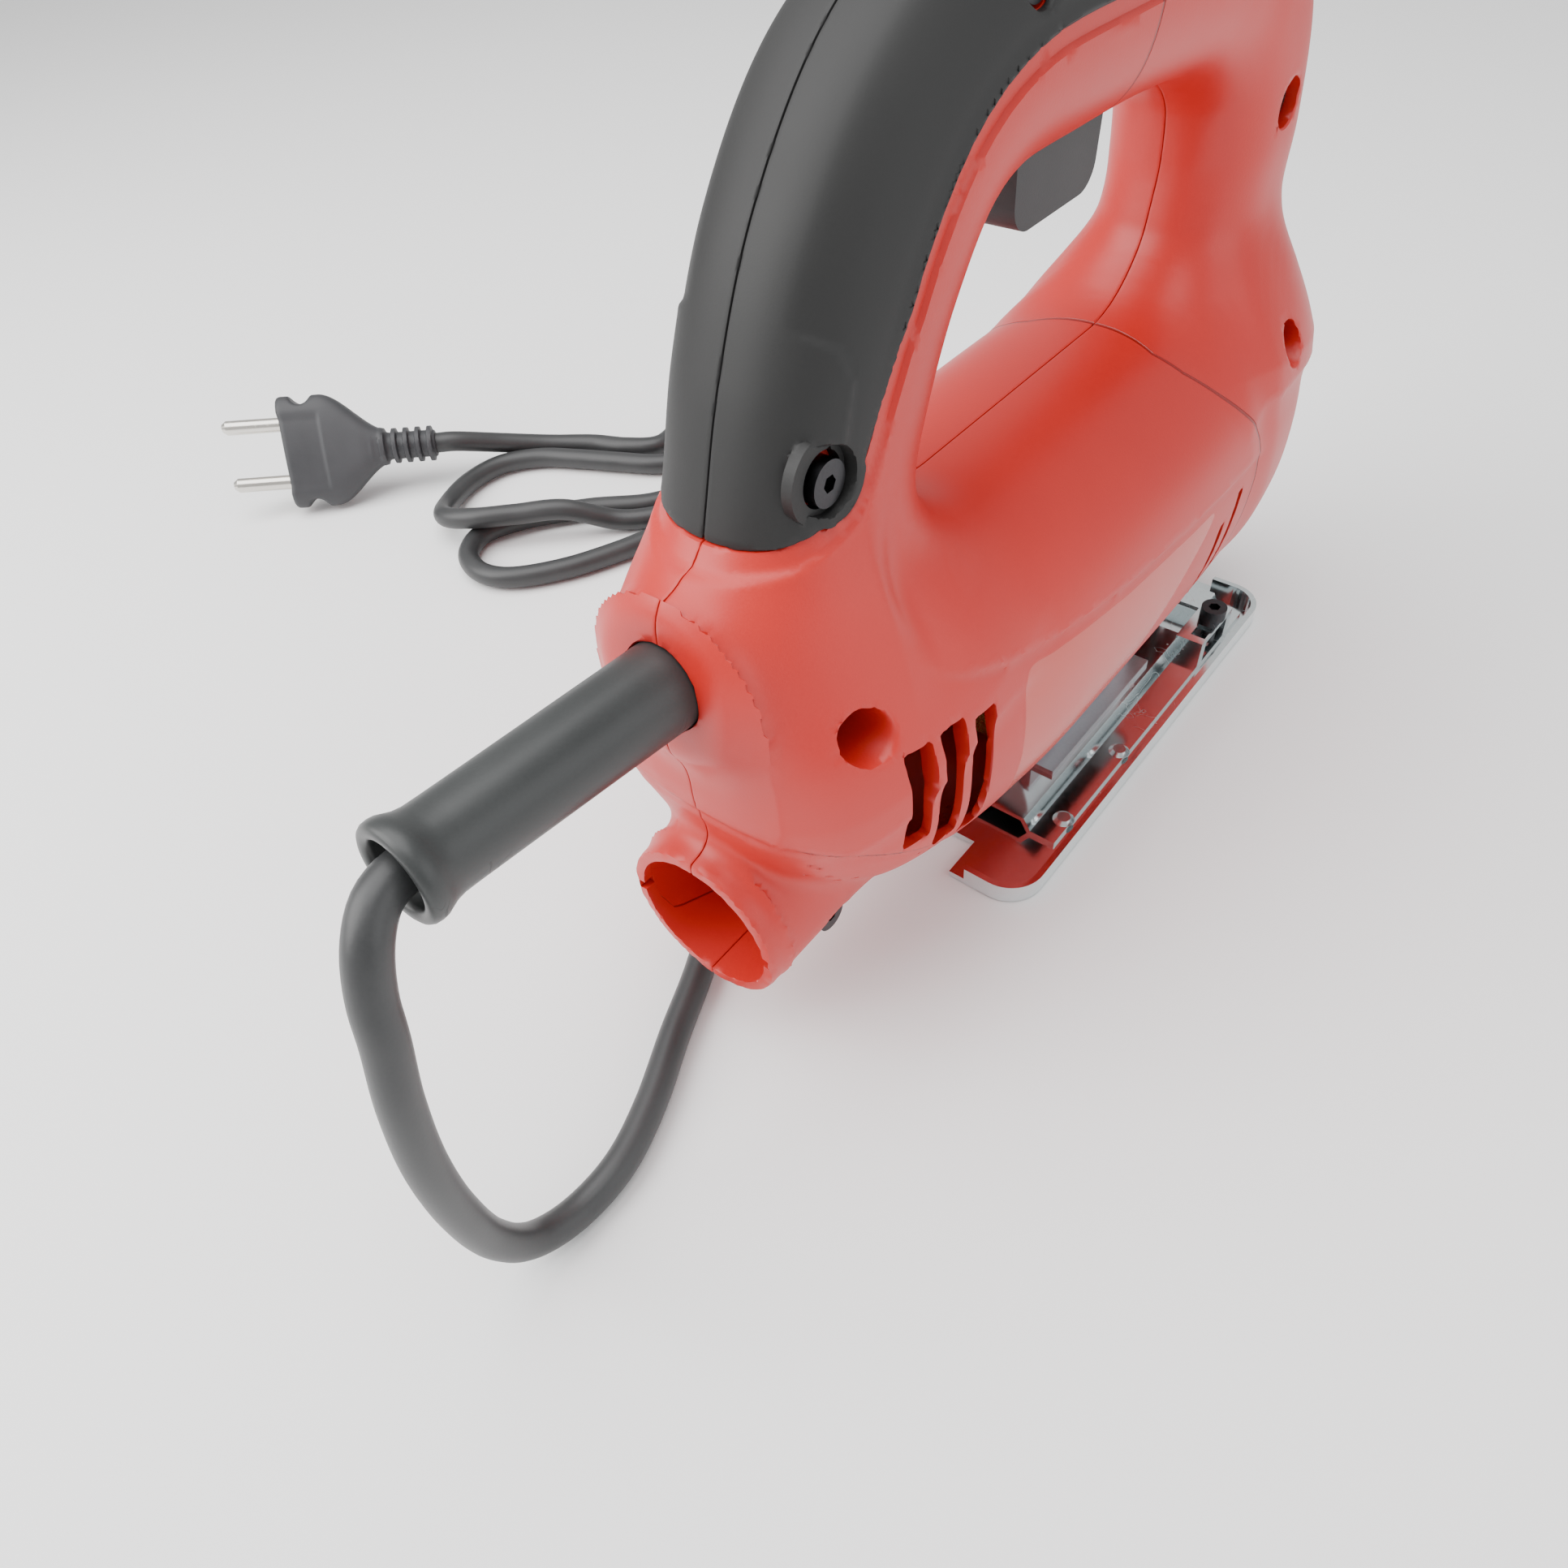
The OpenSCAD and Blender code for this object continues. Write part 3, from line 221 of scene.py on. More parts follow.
# Shared shader groups.

# Empty shader group: inputs are name, kind and value, outputs name and kind.
def newGroup(name, inputs, outputs):
    group = bpy.data.node_groups.new(name, "ShaderNodeTree")
    for label, kind, value in inputs:
        socket = group.interface.new_socket(name=label, in_out="INPUT", socket_type=kind)
        socket.default_value = value
    for label, kind in outputs:
        group.interface.new_socket(name=label, in_out="OUTPUT", socket_type=kind)
    return group, group.nodes.new("NodeGroupInput"), group.nodes.new("NodeGroupOutput")


# One node: settings on the node, links from other sockets, values on its own sockets.
def addNode(tree, kind, settings=None, links=None, values=None):
    node = tree.nodes.new(kind)
    for key, value in (settings or {}).items():
        setattr(node, key, value)
    for key, value in (values or {}).items():
        node.inputs[key].default_value = value
    for key, socket in (links or {}).items():
        tree.links.new(socket, node.inputs[key])
    return node


# One math node on two numbers or sockets.
def mathNode(tree, operation, a, b=None, clamp=False):
    node = tree.nodes.new("ShaderNodeMath")
    node.operation, node.use_clamp = operation, clamp
    for k, v in enumerate((a, b)):
        if v is None:
            continue
        if isinstance(v, (int, float)):
            node.inputs[k].default_value = v
        else:
            tree.links.new(v, node.inputs[k])
    return node.outputs[0]


# Tone: slow cloud 0 to 1. Speck: fine grain 0 to 1. Scuff: short thin scratches, 0 or 1.
def makeFinishGroup():
    group, enter, leave = newGroup("surfaceFinish", [
        ("Cloud Scale", "NodeSocketFloat", 30.0), ("Grain Scale", "NodeSocketFloat", 2500.0),
        ("Scuff Scale", "NodeSocketFloat", 60.0), ("Stretch", "NodeSocketVector", (1.0, 1.0, 1.0))],
        [("Tone", "NodeSocketFloat"), ("Speck", "NodeSocketFloat"), ("Scuff", "NodeSocketFloat")])
    place = addNode(group, "ShaderNodeTexCoord").outputs["Object"]
    drawn = addNode(group, "ShaderNodeVectorMath", {"operation": "MULTIPLY"},
                    {0: place, 1: enter.outputs["Stretch"]}).outputs[0]
    cloud = addNode(group, "ShaderNodeTexNoise", None,
                    {"Vector": place, "Scale": enter.outputs["Cloud Scale"]},
                    {"Detail": 4.0, "Roughness": 0.55})
    grain = addNode(group, "ShaderNodeTexNoise", None,
                    {"Vector": drawn, "Scale": enter.outputs["Grain Scale"]},
                    {"Detail": 2.0, "Roughness": 0.6})
    lines = addNode(group, "ShaderNodeTexNoise", None,
                    {"Vector": place, "Scale": enter.outputs["Scuff Scale"]},
                    {"Detail": 3.0, "Roughness": 0.45, "Distortion": 1.4})
    off = mathNode(group, "ABSOLUTE", mathNode(group, "SUBTRACT", lines.outputs["Fac"], 0.5))
    thin = mathNode(group, "LESS_THAN", off, 0.0035)
    patch = mathNode(group, "GREATER_THAN", cloud.outputs["Fac"], 0.56)
    group.links.new(cloud.outputs["Fac"], leave.inputs["Tone"])
    group.links.new(grain.outputs["Fac"], leave.inputs["Speck"])
    group.links.new(mathNode(group, "MULTIPLY", thin, patch), leave.inputs["Scuff"])
    return group


# Mask of a thin line where a signed distance is near 0: 1 - smooth step of |distance| over half the width.
def makeLineGroup():
    group, enter, leave = newGroup("mouldedLine", [
        ("Distance", "NodeSocketFloat", 1.0), ("Half Width", "NodeSocketFloat", 0.35)],
                                   [("Mask", "NodeSocketFloat")])
    share = mathNode(group, "DIVIDE", mathNode(group, "ABSOLUTE", enter.outputs["Distance"]),
                     enter.outputs["Half Width"])
    step = addNode(group, "ShaderNodeMapRange", {"interpolation_type": "SMOOTHSTEP"}, {"Value": share},
                   {"From Min": 0.35, "From Max": 1.0, "To Min": 1.0, "To Max": 0.0})
    group.links.new(step.outputs[0], leave.inputs["Mask"])
    return group


finishGroup, lineGroup = makeFinishGroup(), makeLineGroup()


# Principled surface whose colour and roughness follow the finish group, with a fine bump.
def makeMaterial(name, f):
    material = bpy.data.materials.new(name)
    material.use_nodes = True
    tree = material.node_tree
    shader = tree.nodes["Principled BSDF"]
    finish = addNode(tree, "ShaderNodeGroup", {"node_tree": finishGroup}, None, {
        "Cloud Scale": f.get("cloud", 30), "Grain Scale": f.get("grain", 2500),
        "Scuff Scale": f.get("scuff", 60), "Stretch": f.get("stretch", (1, 1, 1))})
    tone, speck, scuff = (finish.outputs[k] for k in ("Tone", "Speck", "Scuff"))
    dark, light = f["colours"]
    spread = mathNode(tree, "ADD", mathNode(tree, "MULTIPLY", tone, 0.75),
                      mathNode(tree, "MULTIPLY", speck, 0.25))
    share = addNode(tree, "ShaderNodeMapRange", None, {"Value": spread}, {"From Min": 0.3, "From Max": 0.7})
    colour = addNode(tree, "ShaderNodeMix", {"data_type": "RGBA"}, {0: share.outputs[0]}).outputs[2]
    colour.node.inputs[6].default_value, colour.node.inputs[7].default_value = (*dark, 1), (*light, 1)
    rough = addNode(tree, "ShaderNodeMapRange", None, {"Value": spread}, {
        "From Min": 0.3, "From Max": 0.7, "To Min": f["rough"][0], "To Max": f["rough"][1]}).outputs[0]
    rough = mathNode(tree, "ADD", rough, mathNode(tree, "MULTIPLY", scuff, f.get("scuffRough", 0.0)),
                     clamp=True)
    height = mathNode(tree, "MULTIPLY", speck, f.get("depth", 0.02))
    height = mathNode(tree, "SUBTRACT", height, mathNode(tree, "MULTIPLY", scuff, f.get("scuffDeep", 0.0)))
    bump = addNode(tree, "ShaderNodeBump", None, {"Height": height}, {"Strength": 1.0, "Distance": mm})
    tree.links.new(colour, shader.inputs["Base Color"])
    tree.links.new(rough, shader.inputs["Roughness"])
    tree.links.new(bump.outputs[0], shader.inputs["Normal"])
    shader.inputs["Metallic"].default_value = f.get("metal", 0.0)
    shader.inputs["IOR"].default_value = f.get("ior", 1.48)
    shader.inputs["Specular IOR Level"].default_value = f.get("specular", 0.5)
    return material, tree, shader, colour, rough, height, bump


finishes = {
    "gripRubber": {"colours": ((0.010, 0.010, 0.010), (0.016, 0.016, 0.016)), "rough": (0.50, 0.62),
                   "grain": 3200, "depth": 0.012, "cloud": 22, "specular": 0.42},
    "sleeveRubber": {"colours": ((0.022, 0.024, 0.024), (0.034, 0.037, 0.037)), "rough": (0.36, 0.46),
                     "grain": 2200, "depth": 0.008, "cloud": 40, "scuff": 45, "scuffRough": 0.12},
    "cordPvc": {"colours": ((0.026, 0.027, 0.028), (0.040, 0.041, 0.042)), "rough": (0.38, 0.5),
                "grain": 1500, "depth": 0.012, "cloud": 60},
    "plugPvc": {"colours": ((0.030, 0.031, 0.034), (0.045, 0.046, 0.050)), "rough": (0.48, 0.6),
                "grain": 2600, "depth": 0.012, "cloud": 60},
    "blackPlastic": {"colours": ((0.014, 0.014, 0.015), (0.024, 0.024, 0.026)), "rough": (0.42, 0.55),
                     "grain": 2600, "depth": 0.015},
    "pinNickel": {"colours": ((0.62, 0.59, 0.54), (0.74, 0.71, 0.66)), "rough": (0.18, 0.30), "metal": 1.0,
                  "grain": 1800, "depth": 0.002, "scuff": 120, "scuffRough": 0.2},
    "soleChrome": {"colours": ((0.66, 0.70, 0.71), (0.80, 0.85, 0.86)), "rough": (0.07, 0.17), "metal": 1.0,
                   "grain": 900, "depth": 0.0015, "cloud": 26, "scuff": 70, "scuffRough": 0.18,
                   "scuffDeep": 0.002},
    "rivetSteel": {"colours": ((0.50, 0.52, 0.53), (0.66, 0.68, 0.69)), "rough": (0.2, 0.32), "metal": 1.0,
                   "grain": 1500, "depth": 0.003},
    "darkScrew": {"colours": ((0.035, 0.035, 0.038), (0.07, 0.07, 0.075)), "rough": (0.3, 0.45),
                  "metal": 1.0, "grain": 1800, "depth": 0.004},
    "zincSteel": {"colours": ((0.44, 0.46, 0.49), (0.60, 0.62, 0.65)), "rough": (0.28, 0.42), "metal": 1.0,
                  "grain": 1200, "depth": 0.004, "scuffRough": 0.15},
    "brightSteel": {"colours": ((0.55, 0.56, 0.57), (0.70, 0.71, 0.72)), "rough": (0.15, 0.28), "metal": 1.0,
                    "grain": 900, "stretch": (0.1, 1, 1), "depth": 0.002},
    "gearSteel": {"colours": ((0.25, 0.25, 0.26), (0.42, 0.42, 0.43)), "rough": (0.25, 0.4), "metal": 1.0,
                  "grain": 1500, "depth": 0.003},
    "darkSteel": {"colours": ((0.06, 0.06, 0.065), (0.12, 0.12, 0.125)), "rough": (0.3, 0.45), "metal": 1.0,
                  "grain": 1600, "depth": 0.004},
    "castAlloy": {"colours": ((0.42, 0.43, 0.44), (0.58, 0.59, 0.60)), "rough": (0.42, 0.6), "metal": 1.0,
                  "grain": 1100, "depth": 0.03, "cloud": 50},
    "copperWire": {"colours": ((0.42, 0.13, 0.04), (0.62, 0.24, 0.09)), "rough": (0.25, 0.4), "metal": 1.0,
                   "grain": 500, "stretch": (0.2, 4, 4), "depth": 0.10},
    "copperBar": {"colours": ((0.50, 0.20, 0.09), (0.66, 0.30, 0.15)), "rough": (0.18, 0.35), "metal": 1.0,
                  "grain": 900, "stretch": (4, 0.3, 0.3), "depth": 0.006},
    "brass": {"colours": ((0.55, 0.38, 0.12), (0.72, 0.52, 0.20)), "rough": (0.2, 0.35), "metal": 1.0,
              "grain": 1300, "depth": 0.003},
    "bronze": {"colours": ((0.40, 0.26, 0.11), (0.54, 0.36, 0.17)), "rough": (0.35, 0.5), "metal": 1.0,
               "grain": 2400, "depth": 0.02},
    "carbon": {"colours": ((0.012, 0.012, 0.012), (0.025, 0.025, 0.025)), "rough": (0.4, 0.6), "grain": 2600,
               "depth": 0.02},
    "lamination": {"colours": ((0.10, 0.10, 0.11), (0.20, 0.20, 0.21)), "rough": (0.3, 0.45), "metal": 1.0,
                   "grain": 900, "stretch": (2.2, 0.02, 0.02), "depth": 0.05},
    "leadPvc": {"colours": ((0.03, 0.03, 0.033), (0.05, 0.05, 0.055)), "rough": (0.3, 0.4), "grain": 1500,
                "depth": 0.01},
}
made = {name: makeMaterial(name, f)[0] for name, f in finishes.items()}

redFinish = {"colours": ((0.47, 0.012, 0.008), (0.54, 0.017, 0.011)), "rough": (0.36, 0.46), "grain": 2600,
             "depth": 0.02, "cloud": 16, "ior": 1.5}


# Moulded red plastic: painted shade darkening the grooves along the line
# attributes, and a smoother, paler panel for the label.
def makeRedShell(f):
    material, tree, shader, colour, rough, height, bump = makeMaterial("redShell", f)
    masks = []
    for attribute, half in (("rearLine", 0.42), ("frontLine", 0.45)):
        reading = addNode(tree, "ShaderNodeAttribute", {"attribute_name": attribute}).outputs["Fac"]
        masks.append(addNode(tree, "ShaderNodeGroup", {"node_tree": lineGroup}, {"Distance": reading},
                             {"Half Width": half}).outputs[0])
    line = mathNode(tree, "MAXIMUM", masks[0], masks[1])
    label = addNode(tree, "ShaderNodeAttribute", {"attribute_name": "labelEdge"}).outputs["Fac"]
    film = addNode(tree, "ShaderNodeMapRange", {"interpolation_type": "SMOOTHSTEP"}, {"Value": label},
                   {"From Min": -0.12, "From Max": 0.12}).outputs[0]
    paler = addNode(tree, "ShaderNodeMix", {"data_type": "RGBA"},
                    {0: mathNode(tree, "MULTIPLY", film, 0.45), 6: colour},
                    {7: (0.60, 0.10, 0.07, 1)}).outputs[2]
    # painted shade: the colour goes to deep red along the groove lines, standing in for the shade that falls
    # in the grooves
    shaded = addNode(tree, "ShaderNodeMix", {"data_type": "RGBA"},
                     {0: mathNode(tree, "MULTIPLY", line, 0.7), 6: paler},
                     {7: (0.16, 0.004, 0.003, 1)}).outputs[2]
    gloss = mathNode(tree, "SUBTRACT", rough, mathNode(tree, "MULTIPLY", film, 0.17), clamp=True)
    quiet = mathNode(tree, "SUBTRACT", 1.0, mathNode(tree, "MULTIPLY", film, 0.85))
    relief = mathNode(tree, "ADD", mathNode(tree, "MULTIPLY", height, quiet),
                      mathNode(tree, "MULTIPLY", film, 0.04))
    relief = mathNode(tree, "SUBTRACT", relief, mathNode(tree, "MULTIPLY", line, 0.45))
    tree.links.new(shaded, shader.inputs["Base Color"])
    tree.links.new(gloss, shader.inputs["Roughness"])
    tree.links.new(relief, bump.inputs["Height"])
    return material


made["redShell"] = makeRedShell(redFinish)
print("materials made")


# Red shell.
shell = {
    "rear": -123.5, "length": 210, "halfWidth": 37.5, "low": 23, "high": 98.5,
    "bodyPower": 2.3, "handlePower": 2.5, "fillet": 13,
    "wall": 2.5, "seam": 0.42, "creaseStep": 1.0, "grooveStep": 0.55,
    "openings": {   # ranges along x, y and z, and edge radius
        "foot": ((-31, 21), (-21.6, 21.6), (0, 34), 1), "bladeBay": ((20, 70), (-17, 17), (0, 47), 1),
        "trigger": ((-40.1, -10.9), (-7, 7), (142, 154), 1),
        "dial": ((1.5, 27.5), (-3.4, 3.4), (160, 188), 0.6)},
    "lockHole": (-0.5, 161.5, 5.4),
    "profile": [    # place along the body, then width, top and bottom as shares
        (0, 0.30, 0.93, 0.50), (0.005, 0.50, 0.96, 0.44), (0.017, 0.62, 0.98, 0.37),
        (0.036, 0.72, 0.99, 0.29), (0.064, 0.80, 1, 0.21), (0.107, 0.875, 1, 0.13), (0.164, 0.93, 1, 0.07),
        (0.245, 0.97, 1, 0.02), (0.36, 1, 1, 0), (0.56, 1, 1, 0), (0.73, 0.975, 1, 0), (0.83, 0.91, 0.99, 0),
        (0.90, 0.80, 0.97, 0.04), (0.943, 0.69, 0.94, 0.10), (0.974, 0.52, 0.88, 0.20),
        (0.993, 0.34, 0.79, 0.33), (1, 0.20, 0.72, 0.42)],
    "handle": [     # x, z, half thickness and half width along the handle's middle line
        (-89.5, 78, 29, 30), (-92.5, 92, 26, 25), (-93.5, 104, 22.5, 20), (-92, 116, 20, 17.5),
        (-87.5, 130, 19.5, 17.5), (-79.5, 145, 19.5, 17.5), (-67.5, 158, 19, 17.5), (-51.5, 164, 18.5, 17.5),
        (-28.5, 164.5, 18.5, 17.5), (-1.5, 163.5, 18.5, 17.5), (20.5, 160.5, 18.5, 17.5),
        (35.5, 153.5, 18.5, 17.5), (45.5, 141.5, 18.5, 17.5), (49.5, 125.5, 19.5, 17.5),
        (49.5, 111, 22, 17.5), (48.5, 98, 27, 23), (46.5, 84, 32, 29)],
    "collar": {"x": -125, "z": 96.5, "tilt": 5, "radius": 13, "hole": 7.75},
    "port": {"x": -128.4, "z": 36.8, "length": 24, "radius": 17.7, "bore": 15.3, "deep": 17, "duct": 9},
    # screws: x, z, recess radius, depth, thickness of the grip's lining in it
    "screws": [(-109.6, 87.1, 4.8, -12, 0), (-101.4, 124.6, 5.2, -12, 1.8), (-107.5, 28, 4, -12, 0),
               (45.5, 86.5, 4.6, -23, 0), (48.5, 132, 4.6, -12, 0), (-52.5, 174, 4.2, -12, 0)],
    "rearVents": [(-105.6, 58, 81.6), (-97.3, 51.5, 81), (-88.7, 46.5, 78.4)], "ventWidth": 6.2,
    "frontVents": [(9, 36, 61), (16, 39, 65)], "thinVent": 2.6,
    "pad": {"corner": [(-135, 115), (-116, 115.3), (-112.7, 115.7), (-109.4, 116.2), (-105.5, 117.2),
                       (-101, 118.6), (-98.4, 119.7), (-96.3, 121.6), (-93.7, 125.8), (-90.8, 131.6),
                       (-87, 138), (-83.8, 142.2)],
            "to": 10, "edge": 2.2, "thick": 2.2, "gutter": 3.1, "gutterDeep": 0.8,
            "scoop": 0.55, "gap": 0.12},
}

# body profile worked out along c, where place = (1 - cos(pi c)) / 2, so both round ends are smooth
profileRows = np.array(shell["profile"])
profileAt = np.linspace(0, 1, 600)
profileKnots = np.arccos(1 - 2 * profileRows[:, 0]) / np.pi
profileWidth, profileTop, profileLow = [
    monotone(profileKnots, profileRows[:, k], profileAt) for k in (1, 2, 3)]

# handle's middle line, with its half thickness and half width on the same curve
handleLine, handleArc = throughPoints(shell["handle"], 420)
handleWay = np.gradient(handleLine[:, :2], axis=0)
handleWay /= np.linalg.norm(handleWay, axis=1, keepdims=True)
handleMarks = [
    handleArc[np.argmin(np.hypot(handleLine[:, 0] - row[0], handleLine[:, 1] - row[1]))]
    for row in shell["handle"]]


# For each point of the side view: arc length of the nearest place on the middle line,
# offset outwards from it, and how far the point lies past the line's ends.
def handleTables(step=0.5):
    xs, zs = np.arange(-136, 98, step), np.arange(14, 192, step)
    x, z = np.meshgrid(xs, zs, indexing="ij")
    x, z = x.ravel(), z.ravel()
    near = np.empty(len(x), int)
    for i in range(0, len(x), 20000):
        j = slice(i, i + 20000)
        near[j] = np.argmin((x[j, None] - handleLine[:, 0]) ** 2 + (z[j, None] - handleLine[:, 1]) ** 2,
                            axis=1)
    way = handleWay[near]
    dx, dz = x - handleLine[near, 0], z - handleLine[near, 1]
    along = dx * way[:, 0] + dz * way[:, 1]
    across = -dx * way[:, 1] + dz * way[:, 0]
    over = np.where(near == 0, -along, np.where(near == len(handleLine) - 1, along, -50))
    shape = (len(xs), len(zs))
    return xs, zs, [t.reshape(shape) for t in (handleArc[near] + along, across, over)]


tableX, tableZ, tables = handleTables()


# Arc length, offset and overshoot at any side-view point,
# interpolated between the four nearest table entries.
def handlePlace(x, z):
    step = tableX[1] - tableX[0]
    i = np.clip((x - tableX[0]) / step, 0, len(tableX) - 1.001)
    j = np.clip((z - tableZ[0]) / step, 0, len(tableZ) - 1.001)
    i0, j0 = i.astype(int), j.astype(int)
    u, v = i - i0, j - j0
    return [t[i0, j0] * (1 - u) * (1 - v) + t[i0 + 1, j0] * u * (1 - v)
            + t[i0, j0 + 1] * (1 - u) * v + t[i0 + 1, j0 + 1] * u * v for t in tables]


# Superellipse section (|y/w|^n + |z/h|^n)^(1/n) - 1, divided by its slope to give millimetres.
def bodyField(p):
    n, s = shell["bodyPower"], shell
    height = s["high"] - s["low"]

    def sections(x):
        at = np.arccos(1 - 2 * np.clip((x - s["rear"]) / s["length"], 0, 1)) / np.pi * (len(profileAt) - 1)
        i = np.minimum(at.astype(int), len(profileAt) - 2)
        f = at - i
        width, top, low = (t[i] * (1 - f) + t[i + 1] * f for t in (profileWidth, profileTop, profileLow))
        return width * s["halfWidth"], s["low"] + height * (top + low) / 2, height * (top - low) / 2

    def size(x):
        w, middle, h = sections(x)
        a, b = np.abs(p[1] / w), np.abs((p[2] - middle) / h)
        return (a ** n + b ** n) ** (1 / n), w, h, a, b

    x = np.clip(p[0], s["rear"] + 0.4, s["rear"] + s["length"] - 0.4)
    g, w, h, a, b = size(x)
    g = np.maximum(g, 0.02)
    gx = (size(x + 0.3)[0] - size(x - 0.3)[0]) / 0.6
    slope = np.sqrt((g ** (1 - n) * a ** (n - 1) / w) ** 2 + (g ** (1 - n) * b ** (n - 1) / h) ** 2
                    + gx ** 2)
    side = (g - 1) / np.maximum(slope, 0.012) + np.abs(p[0] - x)
    return blendMax(side, np.maximum(s["rear"] - p[0], p[0] - s["rear"] - s["length"]), 1.5)


# The same superellipse distance about the handle's middle line, closed where the line ends.
def handleField(p, place):
    n = shell["handlePower"]
    arc, across, over = place
    thick = np.interp(arc, handleArc, handleLine[:, 2])
    wide = np.interp(arc, handleArc, handleLine[:, 3])
    a, b = np.abs(across / thick), np.abs(p[1] / wide)
    g = np.maximum((a ** n + b ** n) ** (1 / n), 0.02)
    slope = g ** (1 - n) * np.sqrt((a ** (n - 1) / thick) ** 2 + (b ** (n - 1) / wide) ** 2)
    return np.maximum((g - 1) / np.maximum(slope, 0.02), over)


# Lower corner of the grip, then a line kept one distance outside the handle's middle line.
def padEdge():
    pad = shell["pad"]
    above = handleLine[:, 1] > pad["corner"][-1][1] + 3
    before = handleArc < handleMarks[pad["to"]] + 20
    marks = np.flatnonzero(above & before)[::6]
    way = handleWay[marks]
    beside = handleLine[marks, :2] + pad["edge"] * np.stack([-way[:, 1], way[:, 0]], 1)
    return [*pad["corner"], *map(tuple, beside)]


# Signed distance in the side view to the grip's outline, negative on the grip.
def padRegion(p, place):
    return blendMax(-polyDistance(p, padLine), place[0] - handleMarks[shell["pad"]["to"]], 6)


# Distance forward along the cord sleeve's axis, and radius about it.
def alongCollar(p):
    c = shell["collar"]
    turn = math.radians(c["tilt"])
    dx, dz = p[0] - c["x"], p[2] - c["z"]
    ahead = dx * math.cos(turn) - dz * math.sin(turn)
    up = dx * math.sin(turn) + dz * math.cos(turn)
    return ahead, np.hypot(up, p[1])


# Signed side-view distance to a bent line, positive on its left; the end pieces run on straight.
def polyDistance(p, line):
    x, z = p[0], p[2]
    best, value = np.full(x.shape, 1e9), np.zeros(x.shape)
    for k in range(len(line) - 1):
        (x0, z0), (x1, z1) = line[k], line[k + 1]
        length = math.hypot(x1 - x0, z1 - z0)
        ux, uz = (x1 - x0) / length, (z1 - z0) / length
        t = (x - x0) * ux + (z - z0) * uz
        cap = np.clip(t, -1e9 if k == 0 else 0, 1e9 if k == len(line) - 2 else length)
        gap = np.hypot(x - x0 - ux * cap, z - z0 - uz * cap)
        sign = np.where((z - z0) * ux - (x - x0) * uz > 0, 1.0, -1.0)
        near = gap < best
        best, value = np.where(near, gap, best), np.where(near, gap * sign, value)
    return value


padLine = padEdge()
crease = [(-102, 99), (-96.2, 92.4), (-91.8, 88.6), (-86.3, 85.7), (-75.9, 81.8), (-63, 78), (-34, 73.8),
          (-5.7, 71.5), (22, 70), (45, 68), (60, 67)]
rearGroove = [(-132, 65.5), (-124.2, 66), (-121.8, 66.4), (-115.5, 63.6), (-105.7, 57), (-96, 50.4),
              (-86.4, 44.3), (-76, 40), (-60, 36.5), (-20, 34), (40, 32.5), (60, 32.5)]
frontGroove = [(12, 112), (9.3, 98.8), (7.2, 96.5), (8.5, 93.5), (13.1, 88.5), (22.5, 79.3), (26, 74),
               (27.2, 69.5), (27, 63.8), (25, 55), (21, 46), (17, 38), (14, 30)]


# Body and handle joined with a fillet, then the cord collar and the dust port's flank.
def shellOutside(p, place):
    s, c, port = shell, shell["collar"], shell["port"]
    joined = blendMin(bodyField(p), handleField(p, place), s["fillet"])
    raised = ramp(polyDistance(p, crease), -1.3, 0.9) * ramp(p[0], -104, -84) * ramp(-p[0], -34, -20)
    inRange = ramp(p[0], -112, -80) * ramp(-p[0], -38, -24) * ramp(np.abs(p[1]), 14, 22)
    joined = joined + s["creaseStep"] * (1 - raised) * inRange
    below = ramp(-polyDistance(p, rearGroove), -0.5, 0.7) * ramp(-p[0], 60, 100)
    joined = joined + s["grooveStep"] * below
    ahead, radius = alongCollar(p)
    sleeve = blendMax(radius - c["radius"] - 0.42 * np.clip(ahead, 0, 26), np.maximum(-ahead, ahead - 26), 4)
    joined = blendMin(joined, sleeve, 9)
    tube = np.hypot(p[1], p[2] - port["z"]) - port["radius"]
    flank = blendMax(tube, np.maximum(port["x"] - p[0], p[0] - port["x"] - port["length"] - 14), 1.2)
    return blendMin(joined, flank, 7)


